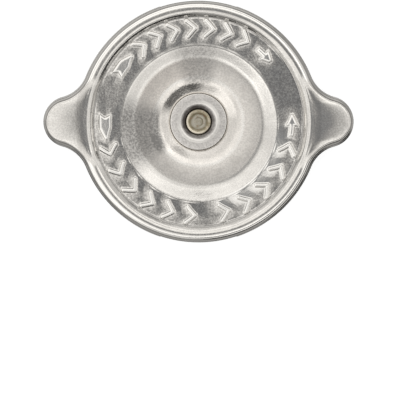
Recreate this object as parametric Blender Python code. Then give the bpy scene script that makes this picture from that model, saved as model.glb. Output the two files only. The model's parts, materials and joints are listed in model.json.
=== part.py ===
"""A plain radiator filler cap.

One pressed steel shell with two ears and two bayonet claws carries a rivet. Round the rivet, inside
the shell, a leaf spring pushes a dished plate with a rubber gasket down on the filler neck.
The cap rests on its claws: z = 0 is their underside, and the ears point along +X and -X.
All sizes are in metres.
"""

import math
from collections import namedtuple

import bmesh
import bpy
import numpy as np

# Clearances
SEAT_GAP = 0.0003
RUNNING_GAP = 0.0003

# Shell: the sheet, its skirt and its two ears
SHEET = 0.0008
RIM_HEIGHT = 0.01175
SKIRT_RADIUS = 0.03217
EAR_LENGTH = 0.00883
EAR_TIP_RADIUS = 0.0068
EAR_FILLET_RADIUS = 0.0090
EAR_RISE = 0.00045
EAR_ROOT_RISE = 0.00027
EAR_EDGE_RISE = 0.0009
EAR_RISE_ANGLES = (math.radians(25.0), math.radians(16.0))
EAR_EDGE_ANGLES = (math.radians(46.0), math.radians(20.0))

# Skirt section, from its lower edge to the rim
EDGE_HEIGHT = 0.00195
HEM_HEIGHT = 0.00245
HEM_FLARE = 0.0004
WALL_TAPER = 0.00026
CREASE_STEP = 0.00016
CREASE_BAND = 0.0002
CREASE_DEPTH = 0.0024
SHOULDER_WIDTH = 0.0014
SHOULDER_HEIGHT = 0.0021

# Top of the shell, from the rim to the hole in the middle
RIM_TOP_WIDTH = 0.00055
RIM_SLOPE_WIDTH = 0.0018
RIM_LIP_DROP = 0.00007
RECESS_DEPTH = 0.0010
RECESS_INNER_RADIUS = 0.0199
DOME_DROP = 0.00005
CREST_RADIUS = 0.0158
CROWN_RISE = 0.00035
CROWN_WIDTH = 0.0068
BOWL_RADIUS = 0.0122
BOWL_DEPTH = 0.00195
BOWL_FLOOR_RADIUS = 0.0046

# Bayonet claws, bent in from the skirt's lower edge between two notches
CLAW_WIDTH = 0.0129
CLAW_SIDE_ROUNDING = 0.0020
CLAW_DEPTH = 0.00617
CLAW_BEND_RADIUS = 0.0015
CLAW_SLOPE = math.radians(45.0)
NOTCH_WIDTH = 0.0039
NOTCH_HEIGHT = 0.0012

# Rivet and its two washers
RIVET_RADIUS = 0.0027
RIVET_END_RADIUS = 0.00324
RIVET_END_RISE = 0.0004
RIVET_END_SQUARENESS = 0.35
RIVET_HEAD_RADIUS = 0.0050
RIVET_HEAD_HEIGHT = 0.0013
RIVET_HEAD_EDGE = 0.0006
WASHER_RADIUS = 0.00735
WASHER_SHEET = 0.0007
WASHER_RING_WIDTH = 0.00225
WASHER_EDGE = 0.00015
THRUST_RADIUS = 0.0065
THRUST_SHEET = 0.0005

# Leaf spring
SPRING_SHEET = 0.0004
SPRING_DROP = 0.0008
SPRING_ARMS = 4
SPRING_HUB_RADIUS = 0.0065
SPRING_MARGIN = 0.0052
SPRING_TIP_LENGTH = 0.0018
SPRING_UPTURN = 0.00025
SPRING_ROOT_WIDTH = 0.0060
SPRING_TIP_WIDTH = 0.0042

# Seal plate, gasket and the ring that holds the gasket
PLATE_SHEET = 0.0005
PLATE_MARGIN = 0.00497
PLATE_DISH = 0.0006
PLATE_SLOPE_WIDTH = 0.0016
PLATE_LIP_HEIGHT = 0.0017
PLATE_CORNER = 0.0005
GASKET_THICKNESS = 0.0016
GASKET_WIDTH = 0.0074
GASKET_EDGE = 0.0003
GASKET_SIDE_GAP = 0.0004
GASKET_REBATE = 0.0005
RETAINER_SHEET = 0.0005
RETAINER_FLANGE = 0.0022
RETAINER_TAIL = 0.0045
TAIL_TO_DISH = 0.0035

# How finely the curves are cut
TIP_STEPS = 5
FILLET_STEPS = 4
SKIRT_STEPS = 10
NOTCH_STEPS = 3
CLAW_STEPS = 4
SHOULDER_STEPS = 4
HEM_STEPS = 3
BEND_STEPS = 3
CURVE_STEPS = 4
BOWL_STEPS = 6
TURN_STEPS = 48
SMALL_TURN_STEPS = 36
ARM_STEPS = 6
ARM_COLUMNS = 4
HUB_GAP_COLUMNS = 3
MERGE_DISTANCE = 0.000002
SHARP_ANGLE = math.radians(40.0)

# Heights that follow from the sizes above
RECESS_HEIGHT = RIM_HEIGHT - RECESS_DEPTH
DOME_HEIGHT = RIM_HEIGHT - DOME_DROP
FLOOR_HEIGHT = DOME_HEIGHT - CROWN_RISE - BOWL_DEPTH
CREASE_HEIGHT = RIM_HEIGHT - CREASE_DEPTH
HEM_BASE = EDGE_HEIGHT + HEM_HEIGHT
NOTCH_TOP = EDGE_HEIGHT + NOTCH_HEIGHT
SPRING_TOP = FLOOR_HEIGHT - SHEET - SEAT_GAP
PLATE_TOP = SPRING_TOP - SPRING_SHEET - SPRING_DROP - SEAT_GAP
PLATE_FLOOR_TOP = PLATE_TOP - PLATE_DISH
GASKET_TOP = PLATE_TOP - PLATE_SHEET - SEAT_GAP
GASKET_BOTTOM = GASKET_TOP - GASKET_THICKNESS
THRUST_TOP = PLATE_FLOOR_TOP - PLATE_SHEET - SEAT_GAP
RIVET_HEAD_TOP = THRUST_TOP - THRUST_SHEET - SEAT_GAP

# Radii that follow from the sizes above
WALL_TOP_INSET = HEM_FLARE + WALL_TAPER
SHOULDER_INSET = WALL_TOP_INSET + CREASE_STEP
RIM_LIP_RADIUS = SKIRT_RADIUS - SHOULDER_INSET - SHOULDER_WIDTH - RIM_TOP_WIDTH
RECESS_OUTER_RADIUS = RIM_LIP_RADIUS - RIM_SLOPE_WIDTH
EAR_TIP_CENTRE = SKIRT_RADIUS + EAR_LENGTH - EAR_TIP_RADIUS
CLAW_REACH_RADIUS = SKIRT_RADIUS - CLAW_DEPTH
PLATE_RADIUS = SKIRT_RADIUS - PLATE_MARGIN
HOLE_RADIUS = RIVET_RADIUS + RUNNING_GAP
GASKET_RADIUS = PLATE_RADIUS - PLATE_SHEET - GASKET_SIDE_GAP
GASKET_BORE = GASKET_RADIUS - GASKET_WIDTH
RETAINER_WALL = GASKET_BORE - SEAT_GAP
PLATE_DISH_RADIUS = RETAINER_WALL - RETAINER_TAIL - TAIL_TO_DISH
PLATE_FLOOR_RADIUS = PLATE_DISH_RADIUS - PLATE_SLOPE_WIDTH
SPRING_REACH = PLATE_RADIUS - SPRING_MARGIN
SPRING_CONTACT_RADIUS = SPRING_REACH - SPRING_TIP_LENGTH
REBATE_TOP = GASKET_BOTTOM + GASKET_REBATE
REBATE_RADIUS = RETAINER_WALL + RETAINER_FLANGE + SEAT_GAP

HALF_TURN = math.pi
QUARTER_TURN = 0.5 * math.pi
FULL_TURN = 2.0 * math.pi

Columns = namedtuple("Columns", "centre_x centre_y radius normal")


def clear_scene():
    """Remove every object that the new file starts with."""
    for old in list(bpy.data.objects):
        bpy.data.objects.remove(old, do_unlink=True)


def metal(name, colour, roughness):
    """Make one metal finish."""
    finish = bpy.data.materials.new(name)
    finish.use_nodes = True
    shader = finish.node_tree.nodes["Principled BSDF"]
    shader.inputs["Base Color"].default_value = (*colour, 1.0)
    shader.inputs["Metallic"].default_value = 1.0
    shader.inputs["Roughness"].default_value = roughness
    return finish


def rubber(name, colour, roughness):
    """Make one rubber finish."""
    finish = metal(name, colour, roughness)
    finish.node_tree.nodes["Principled BSDF"].inputs["Metallic"].default_value = 0.0
    return finish


def place(name, mesh_data, finish, parent):
    """Wrap a bmesh in a named object under its parent empty."""
    bmesh.ops.recalc_face_normals(mesh_data, faces=mesh_data.faces)
    mesh = bpy.data.meshes.new(name)
    mesh_data.to_mesh(mesh)
    mesh_data.free()
    mesh.shade_smooth()
    mesh.set_sharp_from_angle(angle=SHARP_ANGLE)
    mesh.materials.append(finish)
    piece = bpy.data.objects.new(name, mesh)
    bpy.context.scene.collection.objects.link(piece)
    piece.parent = parent
    return piece


def axis_empty(name, parent=None):
    """An empty on the cap's axis that carries the pieces of one moving group."""
    empty = bpy.data.objects.new(name, None)
    bpy.context.scene.collection.objects.link(empty)
    empty.parent = parent
    return empty


def ease(share):
    """A smooth step from 0 to 1 that starts and ends level."""
    return 0.5 - 0.5 * np.cos(HALF_TURN * np.clip(share, 0.0, 1.0))


def add_grid(mesh_data, points, closed=False):
    """Add quads through a grid of points with the shape rows, columns, 3."""
    rows = [[mesh_data.verts.new(point) for point in row] for row in points]
    count = len(rows[0])
    last = count if closed else count - 1
    for upper, lower in zip(rows, rows[1:]):
        for index in range(last):
            following = (index + 1) % count
            mesh_data.faces.new((upper[index], lower[index], lower[following], upper[following]))


def merge(mesh_data):
    """Join the points of neighbouring grids that lie on each other."""
    bmesh.ops.remove_doubles(mesh_data, verts=mesh_data.verts, dist=MERGE_DISTANCE)


def thicken(piece, thickness):
    """Give a sheet its thickness on the side that its faces turn away from."""
    wall = piece.modifiers.new("sheet", "SOLIDIFY")
    wall.thickness = thickness
    wall.offset = -1.0
    wall.use_even_offset = True
    wall.use_quality_normals = True
    return piece


# The skirt's outline in plan
def outline_quarter():
    """Columns round a quarter of the skirt, from the ear's tip to the middle of the claw.

    Each column has the centre of the arc that it lies on, that arc's radius and the direction of its
    outward normal. The radius is negative on the hollow fillet, whose centre lies outside the cap.
    """
    fillet_distance = SKIRT_RADIUS + EAR_FILLET_RADIUS
    tip_distance = EAR_TIP_RADIUS + EAR_FILLET_RADIUS
    fillet_x = (fillet_distance**2 - tip_distance**2 + EAR_TIP_CENTRE**2) / (2.0 * EAR_TIP_CENTRE)
    fillet_y = math.sqrt(fillet_distance**2 - fillet_x**2)
    tip_end = math.atan2(fillet_y, fillet_x - EAR_TIP_CENTRE)
    root = math.atan2(fillet_y, fillet_x)
    claw_side = QUARTER_TURN - 0.5 * CLAW_WIDTH / SKIRT_RADIUS

    tip = np.linspace(0.0, tip_end, TIP_STEPS + 1)
    fillet = np.linspace(tip_end, root, FILLET_STEPS + 1)[1:]
    notch_start = claw_side - NOTCH_WIDTH / SKIRT_RADIUS
    skirt = np.linspace(root, notch_start, SKIRT_STEPS + 1)[1:-1]
    corner = np.linspace(0.0, QUARTER_TURN, NOTCH_STEPS + 1)
    notch_arc = notch_start + NOTCH_HEIGHT * (1.0 - np.cos(corner)) / SKIRT_RADIUS
    notch_flat = np.linspace(notch_arc[-1], claw_side, 3)[1:]
    claw = np.linspace(claw_side, QUARTER_TURN, CLAW_STEPS + 1)[1:]
    disc = np.concatenate((skirt, notch_arc, notch_flat, claw))

    normal = np.concatenate((tip, fillet, disc))
    counts = (len(tip), len(fillet), len(disc))
    centre_x = np.repeat((EAR_TIP_CENTRE, fillet_x, 0.0), counts)
    centre_y = np.repeat((0.0, fillet_y, 0.0), counts)
    radius = np.repeat((EAR_TIP_RADIUS, -EAR_FILLET_RADIUS, SKIRT_RADIUS), counts)
    return Columns(centre_x, centre_y, radius, normal)


def outline():
    """Columns round the whole skirt: the quarter, its mirror image, and both turned half round."""
    quarter = outline_quarter()
    image = Columns(-quarter.centre_x, quarter.centre_y, quarter.radius, HALF_TURN - quarter.normal)
    half = Columns(*(np.concatenate((near[:-1], far[:0:-1])) for near, far in zip(quarter, image)))
    turned_half = Columns(-half.centre_x, -half.centre_y, half.radius, half.normal + HALF_TURN)
    return Columns(*(np.concatenate(pair) for pair in zip(half, turned_half)))


def edge_row(columns, inset, height):
    """A row of points that runs parallel to the skirt's outline, inset from it."""
    reach = columns.radius - inset
    x = columns.centre_x + reach * np.cos(columns.normal)
    y = columns.centre_y + reach * np.sin(columns.normal)
    return np.column_stack((x, y, np.broadcast_to(height, x.shape)))


def polar_angles(columns):
    """The angle round the cap's axis at which each column meets the outline."""
    points = edge_row(columns, 0.0, 0.0)
    return np.arctan2(points[:, 1], points[:, 0])


def from_ear(angles):
    """The angle between each column and the nearer ear."""
    return np.abs(np.arcsin(np.sin(angles)))


def ramp(angles, limits):
    """A smooth rise from 0 at the first angle from the ear to 1 at the second."""
    start, end = limits
    return ease((start - from_ear(angles)) / (start - end))


def circle_row(angles, radius, height):
    """A row of points round the cap's axis."""
    x = radius * np.cos(angles)
    y = radius * np.sin(angles)
    return np.column_stack((x, y, np.broadcast_to(height, x.shape)))


# The shell's surfaces
def bowl_height(radius):
    """Height of the shell's upper side inside the dome's crest: a steep bowl in a gentle crown."""
    steep = ease((radius - BOWL_FLOOR_RADIUS) / (BOWL_RADIUS - BOWL_FLOOR_RADIUS))
    below_crest = np.clip((CREST_RADIUS - radius) / CROWN_WIDTH, 0.0, 1.0)
    return float(FLOOR_HEIGHT + BOWL_DEPTH * steep + CROWN_RISE * (1.0 - below_crest**2))


def dome_profile():
    """Radius and height of the shell's upper side, from the hole to the flat recess."""
    bowl = np.linspace(BOWL_FLOOR_RADIUS, BOWL_RADIUS, BOWL_STEPS + 1)
    fall = np.linspace(CREST_RADIUS, RECESS_INNER_RADIUS, CURVE_STEPS + 1)
    depths = (RECESS_HEIGHT - DOME_HEIGHT) * ease(np.linspace(0.0, 1.0, CURVE_STEPS + 1))
    profile = [(HOLE_RADIUS, FLOOR_HEIGHT)]
    profile += [(radius, bowl_height(radius)) for radius in bowl]
    profile += [(radius, DOME_HEIGHT + depth) for radius, depth in zip(fall, depths)]
    return profile


def hem_inset(height, lift):
    """How far the hem lies inside the skirt's outline at a height below the hem's start."""
    flare = HEM_FLARE * ((HEM_BASE + lift - height) / HEM_HEIGHT) ** 2
    return HEM_FLARE - flare


def lower_edge(angles):
    """Height of the skirt's lower edge: raised at the ears and cut up at the notches."""
    from_claw = SKIRT_RADIUS * (QUARTER_TURN - from_ear(angles)) - 0.5 * CLAW_WIDTH
    into_corner = np.clip((NOTCH_WIDTH - from_claw) / NOTCH_HEIGHT, 0.0, 1.0)
    notch = NOTCH_HEIGHT * np.sqrt(1.0 - (1.0 - into_corner) ** 2)
    return EDGE_HEIGHT + EAR_EDGE_RISE * ramp(angles, EAR_EDGE_ANGLES) + notch


def skirt_rows(columns, angles):
    """Rows from the recess over the rim and the shoulder down to where the hem starts."""
    near_ear = ramp(angles, EAR_RISE_ANGLES)
    lift = EAR_EDGE_RISE * ramp(angles, EAR_EDGE_ANGLES)
    rows = [
        circle_row(angles, RECESS_OUTER_RADIUS, RECESS_HEIGHT),
        circle_row(angles, RIM_LIP_RADIUS, RIM_HEIGHT - RIM_LIP_DROP + EAR_ROOT_RISE * near_ear),
    ]
    for turn in np.linspace(QUARTER_TURN, 0.0, SHOULDER_STEPS + 1):
        inset = SHOULDER_INSET + SHOULDER_WIDTH * (1.0 - math.cos(turn))
        rounding = (SHOULDER_HEIGHT + EAR_RISE * near_ear) * math.sin(turn)
        rows.append(edge_row(columns, inset, RIM_HEIGHT - SHOULDER_HEIGHT + rounding))
    rows.append(edge_row(columns, SHOULDER_INSET, CREASE_HEIGHT))
    rows.append(edge_row(columns, WALL_TOP_INSET, CREASE_HEIGHT - CREASE_BAND))
    rows.append(edge_row(columns, HEM_FLARE, HEM_BASE + lift))
    return rows


def hem_rows(columns, angles):
    """Rows from the start of the hem down to the skirt's lower edge."""
    lift = EAR_EDGE_RISE * ramp(angles, EAR_EDGE_ANGLES)
    top = HEM_BASE + lift
    bottom = lower_edge(angles)
    heights = [top + (bottom - top) * share for share in np.linspace(0.0, 1.0, HEM_STEPS + 1)]
    return [edge_row(columns, hem_inset(height, lift), height) for height in heights]


def claw_path():
    """Radius and height down a claw's outer side from the notch's top, with the length along it."""
    inset = float(hem_inset(NOTCH_TOP, 0.0))
    start_radius = SKIRT_RADIUS - inset
    start = -math.atan(2.0 * HEM_FLARE * (HEM_BASE - NOTCH_TOP) / HEM_HEIGHT**2)
    points = []
    for turn in np.linspace(start, CLAW_SLOPE, BEND_STEPS + 1):
        radius = start_radius - CLAW_BEND_RADIUS * (math.cos(start) - math.cos(turn))
        points.append((radius, NOTCH_TOP - CLAW_BEND_RADIUS * (math.sin(turn) - math.sin(start))))
    slope_radius, slope_top = points[-1]
    slope_bottom = CLAW_BEND_RADIUS * (1.0 - math.sin(CLAW_SLOPE))
    second_radius = slope_radius - (slope_top - slope_bottom) * math.tan(CLAW_SLOPE)
    for turn in np.linspace(CLAW_SLOPE, QUARTER_TURN, BEND_STEPS + 1):
        radius = second_radius - CLAW_BEND_RADIUS * (math.cos(CLAW_SLOPE) - math.cos(turn))
        points.append((radius, CLAW_BEND_RADIUS * (1.0 - math.sin(turn))))
    points.append((CLAW_REACH_RADIUS, 0.0))
    path = np.array(points)
    length = np.concatenate(([0.0], np.cumsum(np.hypot(*np.diff(path, axis=0).T))))
    return path, length


def claw_rows(columns):
    """Rows of one claw: the hem part above the notches, then the bends and the flat hook.

    The claw's leading side is cut straight, and its trailing side is rounded back towards the hook.
    """
    middle = columns.normal[CLAW_STEPS]
    heights = np.linspace(HEM_BASE, NOTCH_TOP, HEM_STEPS + 1)
    rows = [edge_row(columns, hem_inset(height, 0.0), height) for height in heights]
    path, length = claw_path()
    side = path[0, 0] * np.sin(columns.normal - middle)
    across = (side - side[0]) / (side[-1] - side[0])
    hook_start = length[-2]
    for (radius, height), distance in zip(path[1:], length[1:]):
        rounding = CLAW_SIDE_ROUNDING * min(distance / hook_start, 1.0) ** 2
        offset = side[0] + rounding + (side[-1] - side[0] - rounding) * across
        angles = middle + np.arcsin(offset / radius)
        rows.append(circle_row(angles, radius, height))
    return rows


def add_step_down(mesh_data, coarse, fine):
    """Join a row of points to one with twice as many by five-sided faces in a flat ring."""
    inner = [mesh_data.verts.new(point) for point in coarse]
    outer = [mesh_data.verts.new(point) for point in fine]
    for index, corner in enumerate(inner):
        following = (index + 1) % len(inner)
        after = (2 * index + 2) % len(outer)
        near_corners = (corner, outer[2 * index], outer[2 * index + 1])
        mesh_data.faces.new((*near_corners, outer[after], inner[following]))


def make_shell(finish, parent):
    """Press the shell: dome, recess, rim, ears, skirt, notches and claws in one sheet."""
    columns = outline()
    angles = polar_angles(columns)
    quarter = len(angles) // 4
    mesh_data = bmesh.new()

    dome = [circle_row(angles[::2], radius, height) for radius, height in dome_profile()]
    skirt = skirt_rows(columns, angles)
    add_grid(mesh_data, dome, closed=True)
    add_step_down(mesh_data, dome[-1], skirt[0])
    add_grid(mesh_data, skirt, closed=True)

    for claw in (quarter, 3 * quarter):
        along_claw = np.arange(claw - CLAW_STEPS, claw + CLAW_STEPS + 1)
        to_next_claw = np.arange(claw + CLAW_STEPS, claw + 2 * quarter - CLAW_STEPS + 1) % len(angles)
        claw_columns = Columns(*(values[along_claw] for values in columns))
        hem_columns = Columns(*(values[to_next_claw] for values in columns))
        add_grid(mesh_data, claw_rows(claw_columns))
        add_grid(mesh_data, hem_rows(hem_columns, angles[to_next_claw]))

    merge(mesh_data)
    return thicken(place("shell", mesh_data, finish, parent), SHEET)


# Turned pieces
def turned(name, profile, finish, parent, steps=TURN_STEPS, solid_middle=False):
    """Spin an outline of (radius, height) points round the cap's axis into one solid."""
    mesh_data = bmesh.new()
    points = [mesh_data.verts.new((radius, 0.0, height)) for radius, height in profile]
    edges = [mesh_data.edges.new(pair) for pair in zip(points, points[1:])]
    if not solid_middle:
        edges.append(mesh_data.edges.new((points[-1], points[0])))
    bmesh.ops.spin(
        mesh_data,
        geom=points + edges,
        cent=(0.0, 0.0, 0.0),
        axis=(0.0, 0.0, 1.0),
        angle=FULL_TURN,
        steps=steps,
        use_merge=True,
    )
    merge(mesh_data)
    return place(name, mesh_data, finish, parent)


def sheet_outline(line, thickness):
    """Closed outline of a pressed sheet: a line along its upper side and a parallel one below it."""
    points = np.array(line)
    along = np.diff(points, axis=0)
    along /= np.hypot(*along.T)[:, None]
    down = np.column_stack((along[:, 1], -along[:, 0]))
    before = np.vstack((down[:1], down))
    after = np.vstack((down, down[-1:]))
    mitre = (before + after) / (1.0 + np.sum(before * after, axis=1))[:, None]
    under = points + thickness * mitre
    return [tuple(point) for point in np.vstack((points, under[::-1]))]


def make_centre_washer(finish, parent):
    """The dished washer in the shell's bowl, with a countersunk hole for the rivet's formed end."""
    ring_bottom = bowl_height(WASHER_RADIUS) + SEAT_GAP
    centre_bottom = FLOOR_HEIGHT + SEAT_GAP
    ring_top = ring_bottom + WASHER_SHEET
    centre_top = centre_bottom + WASHER_SHEET
    ring_radius = WASHER_RADIUS - WASHER_RING_WIDTH
    sink_radius = RIVET_END_RADIUS + SEAT_GAP
    shares = np.linspace(0.0, 1.0, CURVE_STEPS + 1)
    foot_radius = sink_radius + WASHER_SHEET
    under_radius = ring_radius + 0.5 * WASHER_SHEET
    upper = [
        (
            sink_radius + (ring_radius - sink_radius) * share,
            centre_top + (ring_top - centre_top) * math.sin(share * QUARTER_TURN),
        )
        for share in shares
    ]
    lower = [
        (
            under_radius + (foot_radius - under_radius) * share,
            ring_bottom + (centre_bottom - ring_bottom) * (1.0 - math.cos(share * QUARTER_TURN)),
        )
        for share in shares
    ]
    edge = [
        (WASHER_RADIUS - WASHER_EDGE, ring_top),
        (WASHER_RADIUS, ring_top - WASHER_EDGE),
        (WASHER_RADIUS, ring_bottom + WASHER_EDGE),
        (WASHER_RADIUS - WASHER_EDGE, ring_bottom),
    ]
    profile = upper + edge + lower + [(HOLE_RADIUS, centre_bottom)]
    return turned("centre_washer", profile, finish, parent, SMALL_TURN_STEPS)


def make_rivet(finish, parent):
    """The rivet: pan head below, plain shank, and an end formed out into the centre washer."""
    cone_bottom = FLOOR_HEIGHT + SEAT_GAP
    cone_top = cone_bottom + WASHER_SHEET
    head_bottom = RIVET_HEAD_TOP - RIVET_HEAD_HEIGHT
    head_edge = [
        (
            RIVET_HEAD_RADIUS - RIVET_HEAD_EDGE * (1.0 - math.cos(turn)),
            head_bottom + RIVET_HEAD_EDGE * (1.0 - math.sin(turn)),
        )
        for turn in np.linspace(QUARTER_TURN, 0.0, BEND_STEPS + 1)
    ]
    end_edge = [
        (
            RIVET_END_RADIUS * math.cos(turn) ** RIVET_END_SQUARENESS,
            cone_top + RIVET_END_RISE * math.sin(turn),
        )
        for turn in np.linspace(0.0, QUARTER_TURN, CURVE_STEPS + 1)[:-1]
    ]
    shank = [
        (RIVET_HEAD_RADIUS, RIVET_HEAD_TOP),
        (RIVET_RADIUS, RIVET_HEAD_TOP),
        (RIVET_RADIUS, cone_bottom),
    ]
    profile = [(0.0, head_bottom)] + head_edge + shank + end_edge + [(0.0, cone_top + RIVET_END_RISE)]
    return turned("rivet", profile, finish, parent, SMALL_TURN_STEPS, solid_middle=True)


def make_thrust_washer(finish, parent):
    """The flat washer between the rivet's head and the seal plate."""
    bottom = THRUST_TOP - THRUST_SHEET
    profile = [
        (HOLE_RADIUS, THRUST_TOP),
        (THRUST_RADIUS, THRUST_TOP),
        (THRUST_RADIUS, bottom),
        (HOLE_RADIUS, bottom),
    ]
    return turned("thrust_washer", profile, finish, parent, SMALL_TURN_STEPS)


def make_seal_plate(finish, parent):
    """The dished plate that turns on the rivet, with a lip round the gasket."""
    line = [(HOLE_RADIUS, PLATE_FLOOR_TOP)]
    line += [
        (
            PLATE_FLOOR_RADIUS + PLATE_SLOPE_WIDTH * share,
            PLATE_FLOOR_TOP + PLATE_DISH * float(ease(share)),
        )
        for share in np.linspace(0.0, 1.0, CURVE_STEPS + 1)
    ]
    line += [
        (
            PLATE_RADIUS - PLATE_CORNER * (1.0 - math.sin(turn)),
            PLATE_TOP - PLATE_CORNER * (1.0 - math.cos(turn)),
        )
        for turn in np.linspace(0.0, QUARTER_TURN, BEND_STEPS + 1)
    ]
    line.append((PLATE_RADIUS, PLATE_TOP - PLATE_LIP_HEIGHT))
    return turned("seal_plate", sheet_outline(line, PLATE_SHEET), finish, parent)


def make_gasket(finish, parent):
    """The rubber ring that seals on the filler neck, with a rebate for the retainer's flange."""
    profile = [
        (GASKET_BORE, GASKET_TOP),
        (GASKET_RADIUS, GASKET_TOP),
        (GASKET_RADIUS, GASKET_BOTTOM + GASKET_EDGE),
        (GASKET_RADIUS - GASKET_EDGE, GASKET_BOTTOM),
        (REBATE_RADIUS, GASKET_BOTTOM),
        (REBATE_RADIUS, REBATE_TOP),
        (GASKET_BORE, REBATE_TOP),
    ]
    return turned("gasket", profile, finish, parent)


def make_gasket_retainer(finish, parent):
    """The stepped ring under the plate, whose flange holds the gasket's inner margin."""
    flange_top = REBATE_TOP - SEAT_GAP
    line = [
        (RETAINER_WALL - RETAINER_TAIL, GASKET_TOP),
        (RETAINER_WALL, GASKET_TOP),
        (RETAINER_WALL, flange_top),
        (RETAINER_WALL + RETAINER_FLANGE, flange_top),
    ]
    return turned("gasket_retainer", sheet_outline(line, RETAINER_SHEET), finish, parent)


# The leaf spring
def spring_height(radius):
    """Height of the spring's upper side: level at the hub, down to the plate, turned up at the tips."""
    fall = ease((radius - SPRING_HUB_RADIUS) / (SPRING_CONTACT_RADIUS - SPRING_HUB_RADIUS))
    upturn = np.maximum(radius - SPRING_CONTACT_RADIUS, 0.0) / (SPRING_REACH - SPRING_CONTACT_RADIUS)
    return SPRING_TOP - SPRING_DROP * fall + SPRING_UPTURN * upturn**2


def make_leaf_spring(finish, parent):
    """A hub ring with equal arms, bent down so that their tips bear on the seal plate."""
    mesh_data = bmesh.new()
    half_root = math.asin(0.5 * SPRING_ROOT_WIDTH / SPRING_HUB_RADIUS)
    pitch = FULL_TURN / SPRING_ARMS
    arm_angles = np.linspace(-half_root, half_root, ARM_COLUMNS + 1)
    gap_angles = np.linspace(half_root, pitch - half_root, HUB_GAP_COLUMNS + 1)[1:-1]
    middles = pitch * (np.arange(SPRING_ARMS) + 0.5)
    angles = np.concatenate([middle + np.concatenate((arm_angles, gap_angles)) for middle in middles])
    hub = [circle_row(angles, HOLE_RADIUS, SPRING_TOP), circle_row(angles, SPRING_HUB_RADIUS, SPRING_TOP)]
    add_grid(mesh_data, hub, closed=True)

    root_side = SPRING_HUB_RADIUS * np.sin(arm_angles)
    root_along = SPRING_HUB_RADIUS * np.cos(arm_angles)
    narrowing = SPRING_TIP_WIDTH / SPRING_ROOT_WIDTH
    half_tip = 0.5 * SPRING_TIP_WIDTH
    tip_side = root_side * narrowing
    tip_along = SPRING_REACH - half_tip + np.sqrt(np.maximum(half_tip**2 - tip_side**2, 0.0))
    for middle in middles:
        rows = []
        for share in np.linspace(0.0, 1.0, ARM_STEPS + 1):
            along = root_along + (tip_along - root_along) * share
            side = root_side + (tip_side - root_side) * share
            radius = np.hypot(along, side)
            x = along * math.cos(middle) - side * math.sin(middle)
            y = along * math.sin(middle) + side * math.cos(middle)
            rows.append(np.column_stack((x, y, spring_height(radius))))
        add_grid(mesh_data, rows)
    merge(mesh_data)
    return thicken(place("leaf_spring", mesh_data, finish, parent), SPRING_SHEET)


def build():
    """Make every piece of the cap."""
    clear_scene()
    cover = axis_empty("cover")
    spring_axis = axis_empty("spring_axis", cover)
    seal_axis = axis_empty("seal_axis", spring_axis)
    make_shell(metal("pressed_steel", (0.62, 0.61, 0.59), 0.28), cover)
    make_centre_washer(metal("washer_steel", (0.58, 0.59, 0.61), 0.38), cover)
    make_rivet(metal("rivet_brass", (0.50, 0.46, 0.34), 0.42), cover)
    make_thrust_washer(metal("thrust_steel", (0.55, 0.56, 0.57), 0.40), cover)
    make_leaf_spring(metal("spring_steel", (0.45, 0.45, 0.44), 0.30), spring_axis)
    make_seal_plate(metal("plate_steel", (0.56, 0.56, 0.55), 0.34), seal_axis)
    make_gasket_retainer(metal("retainer_steel", (0.55, 0.55, 0.54), 0.34), seal_axis)
    make_gasket(rubber("gasket_rubber", (0.025, 0.025, 0.027), 0.60), seal_axis)


build()
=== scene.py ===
# %% [markdown]
# # A pressed steel filler cap
#
# The cap is one pressed sheet with two ears and two bayonet claws. Round a rivet in its middle it
# carries a washer on top, and a leaf spring, a plate and a rubber ring below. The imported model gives
# every piece its place and its motion. This lesson makes the finer surface of each piece and the
# finish on it, so it starts by loading that model and by asking how large it is.

import json
import math
from collections import namedtuple

import bmesh
import bpy
import numpy as np
from mathutils import Matrix, Vector

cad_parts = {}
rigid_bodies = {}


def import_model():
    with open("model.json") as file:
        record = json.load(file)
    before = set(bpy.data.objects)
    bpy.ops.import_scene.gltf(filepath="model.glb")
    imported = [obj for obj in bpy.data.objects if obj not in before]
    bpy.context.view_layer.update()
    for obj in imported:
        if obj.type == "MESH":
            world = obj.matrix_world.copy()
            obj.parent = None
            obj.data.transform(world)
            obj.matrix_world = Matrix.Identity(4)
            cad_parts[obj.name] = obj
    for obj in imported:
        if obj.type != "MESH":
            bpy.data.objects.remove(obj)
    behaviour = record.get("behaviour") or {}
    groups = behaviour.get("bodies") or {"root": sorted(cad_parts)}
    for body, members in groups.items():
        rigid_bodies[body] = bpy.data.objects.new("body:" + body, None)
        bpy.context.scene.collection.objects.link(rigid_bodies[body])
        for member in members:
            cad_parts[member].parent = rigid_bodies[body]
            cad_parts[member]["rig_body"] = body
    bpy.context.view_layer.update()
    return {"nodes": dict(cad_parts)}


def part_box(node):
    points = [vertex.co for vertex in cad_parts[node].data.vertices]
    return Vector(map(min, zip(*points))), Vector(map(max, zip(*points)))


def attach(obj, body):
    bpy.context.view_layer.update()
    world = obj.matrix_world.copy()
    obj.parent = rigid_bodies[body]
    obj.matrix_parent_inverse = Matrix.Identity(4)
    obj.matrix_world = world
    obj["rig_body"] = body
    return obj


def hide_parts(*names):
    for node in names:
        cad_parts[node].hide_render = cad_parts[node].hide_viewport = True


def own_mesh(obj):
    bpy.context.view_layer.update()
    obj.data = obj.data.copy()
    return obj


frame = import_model()

MM = 0.001
FULL_TURN = 2.0 * math.pi
HALF_TURN = math.pi
QUARTER_TURN = 0.5 * math.pi


def node_sizes(node):
    """Outer radius, lowest and highest point of a node, in millimetres."""
    low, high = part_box(node)
    return high.x / MM, low.z / MM, high.z / MM


for name in sorted(frame["nodes"]):
    print(name, "radius, lowest, highest:", [round(value, 2) for value in node_sizes(name)])

# %% [markdown]
# ## Camera
#
# The upper view in the photograph looks straight down on the cap, from far away. A long lens high
# above the cap does the same: the claws under the skirt stay hidden and the walls don't show. The
# lens follows from the scale of the picture, and the aim puts the cap in the upper part of the frame.

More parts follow.
